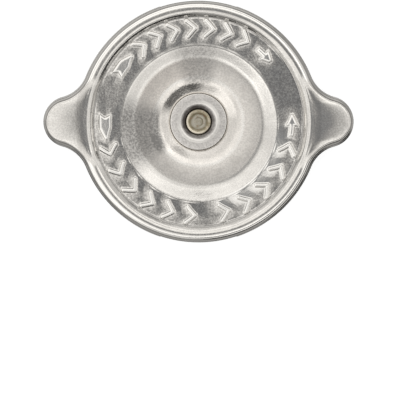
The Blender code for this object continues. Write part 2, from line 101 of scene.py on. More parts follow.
# %% Put the camera above the cap
PHOTO_SIDE = 400.0
CAP_CENTRE_PIXEL = (198.5, 121.7)
PIXEL = 0.2645 * MM
CAMERA_HEIGHT = 0.7
WIDEST_HEIGHT = 0.0023
SENSOR = 36.0
NEAREST = 0.01
FARTHEST = 20.0

focal_pixels = (CAMERA_HEIGHT - WIDEST_HEIGHT) / PIXEL
aim_right = (0.5 * PHOTO_SIDE - CAP_CENTRE_PIXEL[0]) / focal_pixels
aim_down = (0.5 * PHOTO_SIDE - CAP_CENTRE_PIXEL[1]) / focal_pixels
camera_data = bpy.data.cameras.new("camera")
camera_data.sensor_width = SENSOR
camera_data.lens = SENSOR * focal_pixels / PHOTO_SIDE
camera_data.clip_start = NEAREST
camera_data.clip_end = FARTHEST
camera = bpy.data.objects.new("camera", camera_data)
bpy.context.scene.collection.objects.link(camera)
camera.location = (0.0, 0.0, CAMERA_HEIGHT)
camera.rotation_mode = "QUATERNION"
back = -Vector((aim_right, -aim_down, -1.0)).normalized()
right = Vector((0.0, 1.0, 0.0)).cross(back).normalized()
camera.rotation_quaternion = Matrix((right, back.cross(right), back)).transposed().to_quaternion()
bpy.context.scene.camera = camera
print("lens of", round(camera_data.lens, 1), "mm")

# %% [markdown]
# ## Node helpers
#
# Every finish here is worked out by nodes. Shader maths reads best as plain arithmetic, so a small
# class wraps a socket and turns Python's operators into Math nodes. A second class adds the other
# nodes: it takes the node's type, its settings, and the values or links of its sockets. A third
# class does so for the material of one piece.

# %% A socket with operators, and classes that add nodes
NEARLY_NOTHING = 1e-8


def operator_pair(operation):
    """Two methods for an operator: one with the field on its left, one with it on its right."""

    def left(field, other):
        return field.painter.node("ShaderNodeMath", {"operation": operation}, {0: field, 1: other})

    def right(field, other):
        return field.painter.node("ShaderNodeMath", {"operation": operation}, {0: other, 1: field})

    return left, right


class Field:
    """A number or a vector that changes over a surface, held by one node socket."""

    __add__, __radd__ = operator_pair("ADD")
    __sub__, __rsub__ = operator_pair("SUBTRACT")
    __mul__, __rmul__ = operator_pair("MULTIPLY")
    __truediv__, __rtruediv__ = operator_pair("DIVIDE")

    def __init__(self, painter, socket):
        self.painter = painter
        self.socket = socket

    def math(self, operation):
        """Add a Math node that needs only this value."""
        return self.painter.node("ShaderNodeMath", {"operation": operation}, {0: self})

    def step(self, start, end):
        """A smooth rise from 0 where the value is start to 1 where it is end."""
        settings = {"interpolation_type": "SMOOTHSTEP"}
        inputs = {"Value": self, "From Min": start, "From Max": end, "To Min": 0.0, "To Max": 1.0}
        return self.painter.node("ShaderNodeMapRange", settings, inputs)

    def band(self, start, end, soft):
        """1 between start and end, with soft edges outside them."""
        return self.step(start - soft, start) * self.step(end + soft, end)


class Painter:
    """Adds nodes to one node tree."""

    def __init__(self, tree):
        self.tree = tree

    def node(self, kind, settings=None, sockets=None, output=0):
        """Add one node: its settings first, then the values or links of its sockets."""
        made = self.tree.nodes.new(kind)
        for name, value in (settings or {}).items():
            if name == "stops":
                self.set_stops(made.color_ramp, value)
            else:
                setattr(made, name, value)
        for name, value in (sockets or {}).items():
            if isinstance(value, Field):
                self.tree.links.new(value.socket, made.inputs[name])
            else:
                made.inputs[name].default_value = value
        return Field(self, made.outputs[output]) if made.outputs else None

    def set_stops(self, ramp, stops):
        """Give a colour ramp its stops, each a place and a colour."""
        while len(ramp.elements) < len(stops):
            ramp.elements.new(1.0)
        for element, (place, colour) in zip(ramp.elements, stops):
            element.position = place
            element.color = (*colour, 1.0)

    def locate(self, source, scale=1.0):
        """Take a place or a direction: the scaled vector, its parts, and its distance from the axis.

        NEARLY_NOTHING keeps that distance above 0, so that facing can divide by it on the axis.
        """
        inputs = {0: self.node("ShaderNodeTexCoord", output=source), "Scale": scale}
        self.vector = self.node("ShaderNodeVectorMath", {"operation": "SCALE"}, inputs)
        parts = [self.node("ShaderNodeSeparateXYZ", None, {0: self.vector}, index) for index in range(3)]
        self.x, self.y, self.z = parts
        self.radius = (self.x * self.x + self.y * self.y + NEARLY_NOTHING).math("SQRT")

    def facing(self, centre, half_width, soft):
        """1 where the azimuth lies within half_width degrees of the centre."""
        turn = math.radians(centre)
        towards = (self.x * math.cos(turn) + self.y * math.sin(turn)) / self.radius
        outer = math.cos(math.radians(half_width + soft))
        return towards.step(outer, math.cos(math.radians(half_width - soft)))

    def noise(self, scale, detail, roughness, stretch=None):
        """Soft noise from 0 to 1 with about so many lumps in each unit of length.

        A stretch scales each direction first, which draws the pattern out where it is small.
        """
        vector = self.vector
        if stretch:
            inputs = {0: vector, 1: stretch}
            vector = self.node("ShaderNodeVectorMath", {"operation": "MULTIPLY"}, inputs)
        inputs = {"Vector": vector, "Scale": scale, "Detail": detail, "Roughness": roughness}
        return self.node("ShaderNodeTexNoise", {"noise_dimensions": "3D"}, inputs)

    def coats(self, colour, *layers):
        """Cover a colour with coats in turn, each a share from 0 to 1 and a colour."""
        for share, coat in layers:
            inputs = {0: share, 6: colour, 7: coat}
            colour = self.node("ShaderNodeMix", {"data_type": "RGBA"}, inputs, 2)
        return colour

    def relief(self, height, depth, under=None):
        """The normal that a height from 0 to 1 gives, when 1 stands for so many metres."""
        inputs = {"Height": height, "Strength": 1.0, "Distance": depth}
        if under is not None:
            inputs["Normal"] = under
        return self.node("ShaderNodeBump", None, inputs)


class Finish(Painter):
    """A material with one shader. Its vector is the place on the piece in millimetres."""

    def __init__(self, name, metallic=1.0):
        self.material = bpy.data.materials.new(name)
        self.material.use_nodes = True
        super().__init__(self.material.node_tree)
        self.shader = self.tree.nodes["Principled BSDF"]
        self.shader.inputs["Metallic"].default_value = metallic
        self.locate("Object", 1.0 / MM)

    def done(self, colour, rough, normal):
        """Link what varies over the surface to the shader, and give the material."""
        for name, value in (("Base Color", colour), ("Roughness", rough), ("Normal", normal)):
            self.tree.links.new(value.socket, self.shader.inputs[name])
        return self.material


print("helpers are ready")

# %% [markdown]
# ## Studio light
#
# Bare metal shows its surroundings, so the surroundings are the light: a soft bright tent all round,
# with a dark hole that the lens looks through, a little off the middle. Dark cards give the bowl, the
# dome and the rim their dark arcs, and bright cards light the slopes that shine. Below the horizon
# the tent is darker, which draws the dark line round the skirt. All of it is a formula of the
# direction alone.

# %% Light the cap with a soft tent
COOL = (0.98, 1.0, 1.03)
PLAIN = (1.0, 1.0, 1.0)
WARM = (1.02, 1.0, 0.965)
TENT_STOPS = (
    (0.0, 0.205, COOL),
    (2.0, 0.22, COOL),
    (4.0, 0.25, PLAIN),
    (6.0, 0.39, WARM),
    (8.0, 0.58, WARM),
    (11.0, 0.84, WARM),
    (16.0, 1.02, WARM),
    (22.0, 1.09, WARM),
    (31.0, 1.12, WARM),
    (36.0, 1.02, WARM),
    (43.0, 0.77, WARM),
    (50.0, 0.79, WARM),
    (60.0, 0.92, WARM),
    (72.0, 0.96, WARM),
    (80.0, 0.86, WARM),
    (87.0, 0.44, WARM),
    (96.0, 0.32, WARM),
    (112.0, 0.27, WARM),
    (140.0, 0.38, WARM),
    (180.0, 0.38, WARM),
)
TENT_SCALE = 1.5
HOLE_AZIMUTH = 20.0
HOLE_TILT = 3.4
# Each card has an azimuth, half its width and the softness of its sides, then its lowest and highest
# tilt and the softness there, and last the gain in brightness. All but the gain are in degrees.
CARDS = (
    (303.0, 36.0, 12.0, 36.0, 46.0, 3.5, 0.10),
    (306.0, 35.0, 9.0, 75.0, 95.0, 7.0, 0.05),
    (60.0, 14.0, 8.0, 38.0, 50.0, 3.0, 0.58),
    (60.0, 12.0, 6.0, 74.0, 94.0, 6.0, 0.45),
    (262.0, 20.0, 12.0, 42.0, 76.0, 6.0, 0.66),
    (258.0, 16.0, 10.0, 15.0, 24.0, 2.0, 0.78),
    (246.0, 20.0, 9.0, 80.0, 94.0, 6.0, 0.38),
    (210.0, 20.0, 12.0, 74.0, 90.0, 8.0, 1.5),
    (118.0, 52.0, 14.0, 72.0, 92.0, 6.0, 0.64),
    (115.0, 60.0, 14.0, 52.0, 74.0, 6.0, 1.35),
    (12.0, 20.0, 10.0, 38.0, 50.0, 3.0, 0.78),
    (215.0, 20.0, 14.0, 34.0, 50.0, 4.0, 1.48),
    (32.0, 14.0, 10.0, 24.0, 34.0, 3.0, 1.36),
    (60.0, 14.0, 10.0, 27.0, 36.0, 2.0, 1.12),
    (195.0, 20.0, 12.0, 24.0, 33.0, 3.0, 0.80),
    (90.0, 42.0, 14.0, 23.0, 25.5, 2.5, 1.13),
    (270.0, 32.0, 14.0, 25.0, 33.0, 3.0, 1.12),
    (355.0, 14.0, 12.0, 11.0, 31.0, 4.0, 0.78),
    (75.0, 46.0, 12.0, 84.0, 98.0, 5.0, 0.60),
    (36.0, 10.0, 8.0, 60.0, 82.0, 8.0, 0.70),
    (118.0, 62.0, 14.0, 101.0, 118.0, 12.0, 1.5),
    (115.0, 60.0, 14.0, 130.0, 180.0, 12.0, 1.6),
    (322.0, 18.0, 8.0, 98.0, 116.0, 6.0, 1.9),
    (322.0, 15.0, 8.0, 128.0, 180.0, 6.0, 0.10),
    (216.0, 12.0, 8.0, 130.0, 180.0, 8.0, 0.42),
)


def aim_axis(azimuth, tilt):
    """Unit vector that leans by tilt degrees from straight up towards the azimuth."""
    turn, lean = math.radians(azimuth), math.radians(tilt)
    return (math.sin(lean) * math.cos(turn), math.sin(lean) * math.sin(turn), math.cos(lean))


def make_tent():
    """Fill the world with light that depends on the direction alone."""
    world = bpy.data.worlds.new("tent")
    bpy.context.scene.world = world
    world.use_nodes = True
    world.node_tree.nodes.clear()
    painter = Painter(world.node_tree)
    painter.locate("Generated")
    hole = {0: painter.vector, 1: aim_axis(HOLE_AZIMUTH, HOLE_TILT)}
    towards_hole = painter.node("ShaderNodeVectorMath", {"operation": "DOT_PRODUCT"}, hole, "Value")
    from_hole = towards_hole.math("ARCCOSINE") / HALF_TURN
    stops = []
    for angle, shade, tint in TENT_STOPS:
        stops.append((math.radians(angle) / HALF_TURN, [shade / TENT_SCALE * part for part in tint]))
    ring = painter.node("ShaderNodeValToRGB", {"stops": stops}, {0: from_hole})
    tilt = painter.z.math("ARCCOSINE") * math.degrees(1.0)
    strength = TENT_SCALE
    for *side, lowest, highest, soft, gain in CARDS:
        cover = painter.facing(*side) * tilt.band(lowest, highest, soft)
        strength = strength * (1.0 + cover * (gain - 1.0))
    light = painter.node("ShaderNodeBackground", None, {"Color": ring, "Strength": strength})
    painter.node("ShaderNodeOutputWorld", None, {"Surface": light})


make_tent()
bpy.context.scene.view_settings.view_transform = "Standard"
print("tent from", TENT_STOPS[0][1], "to", max(shade for tilt, shade, tint in TENT_STOPS))

# %% [markdown]
# ## Floor
#
# The cap lies on a white light table. It glows a little, so the ground stays white and the cap's
# underside gets light. The metal does not mirror it, as if the table were far below, and from below
# the cap is seen through it.

# %% Lay the light table
TABLE_HALF = 3.0
TABLE_GLOW = 0.80
TABLE_WHITE = (0.41, 0.42, 0.43, 1.0)


def make_table():
    """A flat square under the claws, glowing on its upper side and clear on its lower side."""
    corners = np.array([(-1, -1), (1, -1), (1, 1), (-1, 1)]) * TABLE_HALF
    mesh = bpy.data.meshes.new("light_table")
    mesh.from_pydata([(x, y, 0.0) for x, y in corners.tolist()], [], [(0, 1, 2, 3)])
    table = bpy.data.objects.new("light_table", mesh)
    bpy.context.scene.collection.objects.link(table)
    finish = bpy.data.materials.new("light_table")
    finish.use_nodes = True
    finish.node_tree.nodes.clear()
    painter = Painter(finish.node_tree)
    paper = painter.node("ShaderNodeBsdfDiffuse", None, {"Color": TABLE_WHITE})
    glow = painter.node("ShaderNodeEmission", None, {"Strength": TABLE_GLOW})
    upper = painter.node("ShaderNodeAddShader", None, {0: paper, 1: glow})
    clear = painter.node("ShaderNodeBsdfTransparent")
    underneath = painter.node("ShaderNodeNewGeometry", output="Backfacing")
    side = painter.node("ShaderNodeMixShader", None, {0: underneath, 1: upper, 2: clear})
    painter.node("ShaderNodeOutputMaterial", None, {"Surface": side})
    mesh.materials.append(finish)
    table.visible_glossy = False


make_table()
print("table of", 2.0 * TABLE_HALF, "m")

# %% [markdown]
# ## Surfaces from grids
#
# A pressed sheet is a set of smooth patches: its upper skin, its lower skin and the narrow cut edge
# between them. Each patch is a grid of points, worked out as a whole array. A patchwork collects the
# grids, welds the points that lie on each other, and turns the closed result outwards.


# %% Weld grids into closed meshes
class Patchwork:
    """Collects grids of points in millimetres and welds them into one closed mesh."""

    WELD = 1e-4

    def __init__(self):
        self.points = []
        self.faces = []
        self.count = 0

    def add(self, points, faces):
        """Add loose points and the faces between them, four corners each."""
        self.points.append(points)
        self.faces.append(faces + self.count)
        self.count += len(points)

    def grid(self, rows, closed=True):
        """Add a grid of rows of points. A closed grid joins its last column to its first."""
        rows = np.asarray(rows)
        index = np.arange(rows.shape[0] * rows.shape[1]).reshape(rows.shape[:2])
        if closed:
            index = np.hstack((index, index[:, :1]))
        corners = (index[:-1, :-1], index[1:, :-1], index[1:, 1:], index[:-1, 1:])
        self.add(rows.reshape(-1, 3), np.stack(corners, axis=-1).reshape(-1, 4))

    def strips(self, *patches):
        """Add grids that are open at both ends."""
        for rows in patches:
            self.grid(rows, closed=False)

    def zipper(self, inner, outer, inner_angles, outer_angles):
        """Join two rings with different counts by triangles.

        Going round, the next triangle always takes the ring whose next point comes first. So the far
        corner of each side is the count of the other ring's points that have been passed by then.
        """
        inner_ends = np.append(inner_angles[1:], FULL_TURN)
        outer_ends = np.append(outer_angles[1:], FULL_TURN)
        inner_side = np.arange(len(inner))
        outer_side = np.arange(len(outer))
        inner_tip = np.searchsorted(outer_ends, inner_ends, "right") % len(outer)
        outer_tip = np.searchsorted(inner_ends, outer_ends, "left") % len(inner)
        inner_next = (inner_side + 1) % len(inner)
        outer_next = (outer_side + 1) % len(outer)
        shift = len(inner)
        from_inner = np.column_stack((inner_side, inner_next, inner_tip + shift, inner_tip + shift))
        from_outer = np.column_stack((outer_side + shift, outer_next + shift, outer_tip, outer_tip))
        self.add(np.vstack((inner, outer)), np.vstack((from_inner, from_outer)))

    def mesh(self, name):
        """Weld the points, drop what has no area, and make the mesh with its faces outwards."""
        points = np.vstack(self.points)
        grains = np.round(points / self.WELD).astype(np.int64)
        unique, first, inverse = np.unique(grains, axis=0, return_index=True, return_inverse=True)
        faces = inverse.ravel()[np.vstack(self.faces)]
        repeated = faces == np.roll(faces, -1, axis=1)
        repeats = repeated.sum(axis=1)
        quads = faces[repeats == 0]
        triangles = faces[repeats == 1][~repeated[repeats == 1]].reshape(-1, 3)
        mesh = bpy.data.meshes.new(name)
        mesh.from_pydata((points[first] * MM).tolist(), [], quads.tolist() + triangles.tolist())
        outward = bmesh.new()
        outward.from_mesh(mesh)
        bmesh.ops.recalc_face_normals(outward, faces=outward.faces)
        open_edges = sum(1 for edge in outward.edges if not edge.is_manifold)
        volume = outward.calc_volume() / MM**3
        outward.to_mesh(mesh)
        outward.free()
        print(name, "points", len(unique), "open edges", open_edges, "volume", round(volume), "mm3")
        return mesh


def dress(mesh, node, finish, sharp_angle=40.0, bevel=0.0, bevel_angle=50.0):
    """Show a mesh in place of a node, on the node's own body and with its material slot.

    A bevel rounds the edges that turn by more than its angle.
    """
    mesh.shade_smooth()
    mesh.set_sharp_from_angle(angle=math.radians(sharp_angle))
    mesh.materials.append(finish)
    piece = bpy.data.objects.new(mesh.name, mesh)
    bpy.context.scene.collection.objects.link(piece)
    if bevel:
        rounding = piece.modifiers.new("edges", "BEVEL")
        rounding.width = bevel * MM
        rounding.segments = 2
        rounding.limit_method = "ANGLE"
        rounding.angle_limit = math.radians(bevel_angle)
        rounding.use_clamp_overlap = True
    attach(piece, frame["nodes"][node]["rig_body"])
    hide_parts(node)
    return piece


def ease(share):
    """A smooth step from 0 to 1 that starts and ends level."""
    return 0.5 - 0.5 * np.cos(HALF_TURN * np.clip(share, 0.0, 1.0))


def circle_row(angles, radius, height):
    """A row of points round the cap's axis."""
    x = radius * np.cos(angles)
    y = radius * np.sin(angles)
    return np.column_stack((x, y, np.broadcast_to(height, x.shape)))


def turn_from(centre, angle):
    """The turn from a centre in degrees to each angle, within half a turn either way."""
    return (angle - math.radians(centre) + HALF_TURN) % FULL_TURN - HALF_TURN


# %% [markdown]
# ## Plan of the skirt
#
# Seen from above, the skirt is a chain of tangent arcs: the ear's round tip, a hollow fillet, and the
# large circle with the notches and the claws. Each column of points knows the centre of its arc and
# the direction of its normal, so every row of the shell can run parallel to the outline. The packed
# shell is widest along Y at a claw, where the hem's flare is not complete, so the skirt's radius is
# that width and the missing part of the flare.

# %% Columns round the skirt
EAR_SPAN, _, SHELL_TOP = node_sizes("shell")
EAR_TIP_RADIUS = 6.8
EAR_FILLET_RADIUS = 9.0
CLAW_WIDTH = 12.9
NOTCH_WIDTH = 3.9
NOTCH_HEIGHT = 1.2
HEM_FLARE = 0.3
HEM_HEIGHT = 2.45
MISSING_FLARE = HEM_FLARE * (1.0 - (1.0 - NOTCH_HEIGHT / HEM_HEIGHT) ** 2)
SKIRT_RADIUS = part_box("shell")[1].y / MM + MISSING_FLARE
Columns = namedtuple("Columns", "centre_x centre_y radius normal")
Steps = namedtuple("Steps", "tip fillet skirt notch flat claw")
SHELL_STEPS = Steps(tip=16, fillet=12, skirt=34, notch=6, flat=3, claw=12)


def outline_quarter(steps):
    """Columns from the ear's tip to the middle of the claw, as tangent arcs.

    The fillet's centre lies where circles round the tip's centre and round the axis meet. Its radius
    is negative because that centre lies outside the cap.
    """
    tip_centre = EAR_SPAN - EAR_TIP_RADIUS
    fillet_distance = SKIRT_RADIUS + EAR_FILLET_RADIUS
    tip_distance = EAR_TIP_RADIUS + EAR_FILLET_RADIUS
    fillet_x = (fillet_distance**2 - tip_distance**2 + tip_centre**2) / (2.0 * tip_centre)
    fillet_y = math.sqrt(fillet_distance**2 - fillet_x**2)
    tip_end = math.atan2(fillet_y, fillet_x - tip_centre)
    root = math.atan2(fillet_y, fillet_x)
    claw_side = QUARTER_TURN - 0.5 * CLAW_WIDTH / SKIRT_RADIUS
    notch_start = claw_side - NOTCH_WIDTH / SKIRT_RADIUS

    tip = np.linspace(0.0, tip_end, steps.tip + 1)
    fillet = np.linspace(tip_end, root, steps.fillet + 1)[1:]
    skirt = np.linspace(root, notch_start, steps.skirt + 1)[1:-1]
    corner = np.linspace(0.0, QUARTER_TURN, steps.notch + 1)
    notch_arc = notch_start + NOTCH_HEIGHT * (1.0 - np.cos(corner)) / SKIRT_RADIUS
    notch_flat = np.linspace(notch_arc[-1], claw_side, steps.flat + 1)[1:]
    claw = np.linspace(claw_side, QUARTER_TURN, steps.claw + 1)[1:]
    disc = np.concatenate((skirt, notch_arc, notch_flat, claw))
    counts = (len(tip), len(fillet), len(disc))
    return Columns(
        np.repeat((tip_centre, fillet_x, 0.0), counts),
        np.repeat((0.0, fillet_y, 0.0), counts),
        np.repeat((EAR_TIP_RADIUS, -EAR_FILLET_RADIUS, SKIRT_RADIUS), counts),
        np.concatenate((tip, fillet, disc)),
    )


def outline(steps):
    """The quarter, its mirror image, and both turned half round."""
    quarter = outline_quarter(steps)
    image = Columns(-quarter.centre_x, quarter.centre_y, quarter.radius, HALF_TURN - quarter.normal)
    half = Columns(*(np.concatenate((near[:-1], far[:0:-1])) for near, far in zip(quarter, image)))
    turned_half = Columns(-half.centre_x, -half.centre_y, half.radius, half.normal + HALF_TURN)
    return Columns(*(np.concatenate(pair) for pair in zip(half, turned_half)))


def edge_row(columns, inset, height):
    """A row that runs parallel to the outline: each point lies on its arc, inset along the normal."""
    row = circle_row(columns.normal, columns.radius - inset, height)
    return row + np.column_stack((columns.centre_x, columns.centre_y, np.zeros(len(row))))


def polar_angles(columns):
    """The angle round the axis at which each column meets the outline, from 0 to a full turn."""
    points = edge_row(columns, 0.0, 0.0)
    return np.arctan2(points[:, 1], points[:, 0]) % FULL_TURN


def from_ear(angles):
    """The angle between each column and the nearer ear."""
    return np.abs(np.arcsin(np.sin(angles)))


def ramp(angles, limits):
    """A smooth rise from 0 at the first angle from the ear, in degrees, to 1 at the second."""
    start, end = np.radians(limits)
    return ease((start - from_ear(angles)) / (start - end))


columns = outline(SHELL_STEPS)
angles = polar_angles(columns)
quarter = len(angles) // 4
print("columns round the skirt:", len(angles), "spacing grows:", bool(np.all(np.diff(angles) > 0.0)))

# %% [markdown]
# ## Raised signs
#
# Signs are pressed up into the flat ring. Four arrows show which way the cap turns, two of them with
# a stem and two like a dart, and rows of plain chevrons fill the ring between them. Each sign is
# drawn in its own plane, with u along the ring and v away from the axis. Its height follows the
# distance to its edge: a short foot and a steep wall that bends into a round back, on a soft
# swelling. What shines is slope, so sections are given by their slopes and summed up to heights.

# %% Height of the raised signs
SIGN_RADIUS = 24.45
SIGN_SLOPES = (
    (0.0, 25.0),
    (0.05, 60.0),
    (0.20, 57.0),
    (0.32, 34.0),
    (0.46, 16.0),
    (0.62, 6.0),
    (0.85, 0.0),
)
SIGN_ROUNDING = 0.18
SIGN_STROKE = 1.26
SWELLING = 0.115
SWELLING_REACH = 1.5
ARROW_NECK = -0.2
SECTION_POINTS = 1000
Sign = namedtuple("Sign", "corners centre direction")
DART = ((-3.4, -1.5), (-2.5, 0.0), (-3.4, 1.5), (0.1, 1.5), (3.2, 0.3), (3.2, -0.3), (0.1, -1.5))


def stem_arrow(tail, tip, stem, barb, point):
    """Corners of an arrow: a stem from its tail, two barbs, and a blunt point."""
    start = ((tail, -stem), (tail, stem), (ARROW_NECK, stem), (ARROW_NECK, barb))
    return (*start, (tip, point), (tip, -point), (ARROW_NECK, -barb), (ARROW_NECK, -stem))


STEM_ARROW = stem_arrow(-3.0, 2.8, 0.62, 1.6, 0.2)
BLUNT_ARROW = stem_arrow(-2.5, 2.2, 0.6, 1.6, 0.45)
CHEVRON_TIP = 1.2
CHEVRON_BACK = -1.0
CHEVRON_HALF = 2.1
CHEVRON = ((CHEVRON_BACK, CHEVRON_HALF), (CHEVRON_TIP, 0.0), (CHEVRON_BACK, -CHEVRON_HALF))
Row = namedtuple("Row", "first last count direction")
CHEVRON_ROWS = (
    Row(128.0, 61.0, 7, -1.0),
    Row(197.5, 265.0, 6, 1.0),
    Row(286.0, 343.0, 5, 1.0),
)
signs = [
    Sign(DART, 142.5, -1.0),
    Sign(BLUNT_ARROW, 45.0, -1.0),
    Sign(DART, 183.5, 1.0),
    Sign(STEM_ARROW, 358.0, 1.0),
]
for row in CHEVRON_ROWS:
    for centre in np.linspace(row.first, row.last, row.count):
        signs.append(Sign(CHEVRON, centre, row.direction))


def section(slopes):
    """Radius and height of a section from its slopes: the height is the running sum of the slope.

    The slopes are pairs of radius and angle in degrees, and the angle changes evenly between them.
    """
    radii, degrees = np.array(slopes).T
    fine = np.linspace(radii[0], radii[-1], SECTION_POINTS)
    steep = np.tan(np.radians(np.interp(fine, radii, degrees)))
    steps = 0.5 * (steep[1:] + steep[:-1]) * np.diff(fine)
    return fine, np.concatenate(([0.0], np.cumsum(steps)))


def to_sides(u, v, start, end):
    """Distance from each point to each straight side, from its start to its end."""
    side = end - start
    point = np.stack((u, v), axis=-1)[..., None, :]
    along = np.sum((point - start) * side, axis=-1) / np.sum(side**2, axis=-1)
    nearest = start + np.clip(along, 0.0, 1.0)[..., None] * side
    return np.hypot(*np.moveaxis(point - nearest, -1, 0))


def inside_polygon(u, v, start, end):
    """True where a line along u crosses the sides an odd number of times."""
    u = u[..., None]
    v = v[..., None]
    crosses = (start[:, 1] > v) != (end[:, 1] > v)
    rise = np.where(end[:, 1] == start[:, 1], 1.0, end[:, 1] - start[:, 1])
    meets = start[:, 0] + (v - start[:, 1]) / rise * (end[:, 0] - start[:, 0])
    return np.sum(crosses & (u < meets), axis=-1) % 2 == 1


def sign_distance(radius, angle, sign):
    """Distance outside a sign's outline, negative within it.

    An arrow is a polygon with rounded corners, and a chevron a stroke of even width.
    """
    u = sign.direction * turn_from(sign.centre, angle) * SIGN_RADIUS
    v = radius - SIGN_RADIUS
    start = np.array(sign.corners)
    end = np.roll(start, -1, axis=0)
    if sign.corners == CHEVRON:
        return to_sides(u, v, start[:-1], end[:-1]).min(axis=-1) - 0.5 * SIGN_STROKE
    distance = to_sides(u, v, start, end).min(axis=-1)
    return np.where(inside_polygon(u, v, start, end), -distance, distance) - SIGN_ROUNDING


def sign_height(radius, angle):
    """Height of the signs over the flat ring, from the distance to the nearest sign's edge."""
    distance = np.min([sign_distance(radius, angle, sign) for sign in signs], axis=0)
    inward, height = section(SIGN_SLOPES)
    swelling = SWELLING * np.exp(-np.maximum(distance, 0.0) / SWELLING_REACH)
    return np.interp(-distance, inward, height) + swelling


print("signs:", len(signs), "of which chevrons:", sum(row.count for row in CHEVRON_ROWS))

# %% [markdown]
# ## Section of the shell
#
# From the middle outwards the sheet has a deep bowl, a dome, a flat ring, a slope up to the rim, a
# round shoulder, a thin crease, a wall that widens a little, and a flared hem. The dome and the rim
# are given by their slopes too. The rest is a formula of a turn or a height, as in the packed
# solids, with finer rounding.

# %% Heights from the middle to the flat ring
SHEET = 0.8
RIM_HEIGHT = 11.75
HOLE_RADIUS = 3.0
FLOOR_HEIGHT = 9.4
DOME_HEIGHT = 11.58
RECESS_HEIGHT = 10.63
DOME_EDGE = 20.4
DOME_SLOPES = (
    (HOLE_RADIUS, 0.0),
    (4.6, 0.0),
    (7.0, 20.0),
    (9.6, 22.5),
    (11.2, 12.5),
    (12.2, 8.5),
    (14.0, 4.8),
    (15.6, 2.6),
    (16.2, 0.8),
    (16.9, -6.0),
    (17.8, -14.5),
    (19.9, -14.5),
    (DOME_EDGE, 0.0),
)
DOME_SHIFT = (0.2, -0.52)
DOME_SHIFT_START = 15.5
FOOT_SWELL = 0.34
FOOT_SWELL_RADIUS = 19.9
FOOT_SWELL_INWARD = 3.9
FOOT_SWELL_OUTWARD = 6.7
FOOT_SWELL_POWER = 1.4
FOOT_SWELL_AZIMUTH = 322.0
FOOT_SWELL_WIDTH = 52.0
FOOT_SWELL_FULLNESS = 1.5


def dome_height(radius):
    """Height of the upper side from the hole to the flat ring.

    The climb is scaled to end at the dome's height, and the fall to end at the flat ring's.
    """
    fine, height = section(DOME_SLOPES)
    crest = height.max()
    climb = FLOOR_HEIGHT + (DOME_HEIGHT - FLOOR_HEIGHT) * height / crest
    fall = RECESS_HEIGHT + (DOME_HEIGHT - RECESS_HEIGHT) * (height - height[-1]) / (crest - height[-1])
    return np.interp(radius, fine, np.where(fine < fine[height.argmax()], climb, fall))


def foot_swell(radius, angle):
    """Extra height that draws the dome's foot out on one side.

    It falls off to both sides of the foot with a power of the way left, and round the axis it is a
    cosine hump.
    """
    from_foot = np.asarray(radius) - FOOT_SWELL_RADIUS
    reach = np.where(from_foot > 0.0, FOOT_SWELL_OUTWARD, FOOT_SWELL_INWARD)
    across = np.clip(from_foot / reach, -1.0, 1.0)
    away = turn_from(FOOT_SWELL_AZIMUTH, angle)
    beside = np.clip(np.abs(away) / math.radians(FOOT_SWELL_WIDTH), 0.0, 1.0)
    hump = ease(FOOT_SWELL_FULLNESS * (1.0 - beside))
    return FOOT_SWELL * (1.0 - np.abs(across)) ** FOOT_SWELL_POWER * hump


def dome_row(angles, radius, height):
    """A ring of the dome. The dome was pressed a little off the middle, most of all at its foot."""
    share = max((radius - DOME_SHIFT_START) / (DOME_EDGE - DOME_SHIFT_START), 0.0)
    shift = (DOME_SHIFT[0] * share, DOME_SHIFT[1] * share, 0.0)
    return circle_row(angles, radius, height + foot_swell(radius, angles)) + shift


def inner_line(radius, height):
    """The line under a section, one sheet away from it along its normal."""
    slope = np.gradient(height, radius)
    length = np.hypot(1.0, slope)
    return radius + SHEET * slope / length, height - SHEET / length


def spread(*stretches):
    """Radii in one rising row: each stretch has a start, an end and a count of steps."""
    parts = [np.linspace(start, end, count, endpoint=False) for start, end, count in stretches]
    return np.append(np.concatenate(parts), stretches[-1][1])


dome_radii = spread(
    (HOLE_RADIUS, 4.6, 2),
    (4.6, 7.0, 5),
    (7.0, 9.8, 5),
    (9.8, 12.2, 6),
    (12.2, 15.6, 4),
    (15.6, 17.8, 9),
    (17.8, 19.9, 3),
    (19.9, DOME_EDGE, 5),
)
print("dome:", len(dome_radii), "rows, foot at", round(float(dome_height(DOME_EDGE)), 2), "mm")

# %% Rows of the rim, the shoulder and the wall
EDGE_HEIGHT = 1.95
WALL_TOP_INSET = HEM_FLARE + 0.26
SHOULDER_INSET = WALL_TOP_INSET + 0.16
EAR_SHOULDER_WIDTH = 1.2
SLOPE_ROWS = 18
CREASE_STEPS = 5
WALL_STEPS = 8
WALL_STRAIGHT_SHARE = 0.25
SHOULDER_HEIGHT = 2.1
SHOULDER_SQUARENESS = 2.35
CREASE_HEIGHT = RIM_HEIGHT - 2.4
CREASE_BAND = 0.2
EAR_RISE = SHELL_TOP - RIM_HEIGHT
EAR_ROOT_RISE = 0.40
EAR_RISE_ANGLES = (25.0, 16.0)
EAR_EDGE_RISE = 0.9
EAR_EDGE_ANGLES = (46.0, 20.0)
EAR_LEVEL_SHARE = 0.18
EAR_FALL = math.tan(math.radians(5.4))
HEM_BASE = EDGE_HEIGHT + HEM_HEIGHT
NOTCH_TOP = EDGE_HEIGHT + NOTCH_HEIGHT
FOOT_RADIUS = 27.35
CREST_RADIUS = 29.5
RIM_SLOPES = (
    (FOOT_RADIUS, 0.0),
    (27.47, 47.0),
    (28.36, 40.0),
    (28.56, 29.0),
    (28.70, 14.0),
    (29.12, 10.5),
    (29.26, 1.0),
    (CREST_RADIUS, 0.0),
)
CREST_SHIFT = -0.13
SHIFTED_FROM = 28.5
SHOULDER_START = 29.68
SHOULDER_WIDTH = SKIRT_RADIUS - SHOULDER_INSET - SHOULDER_START

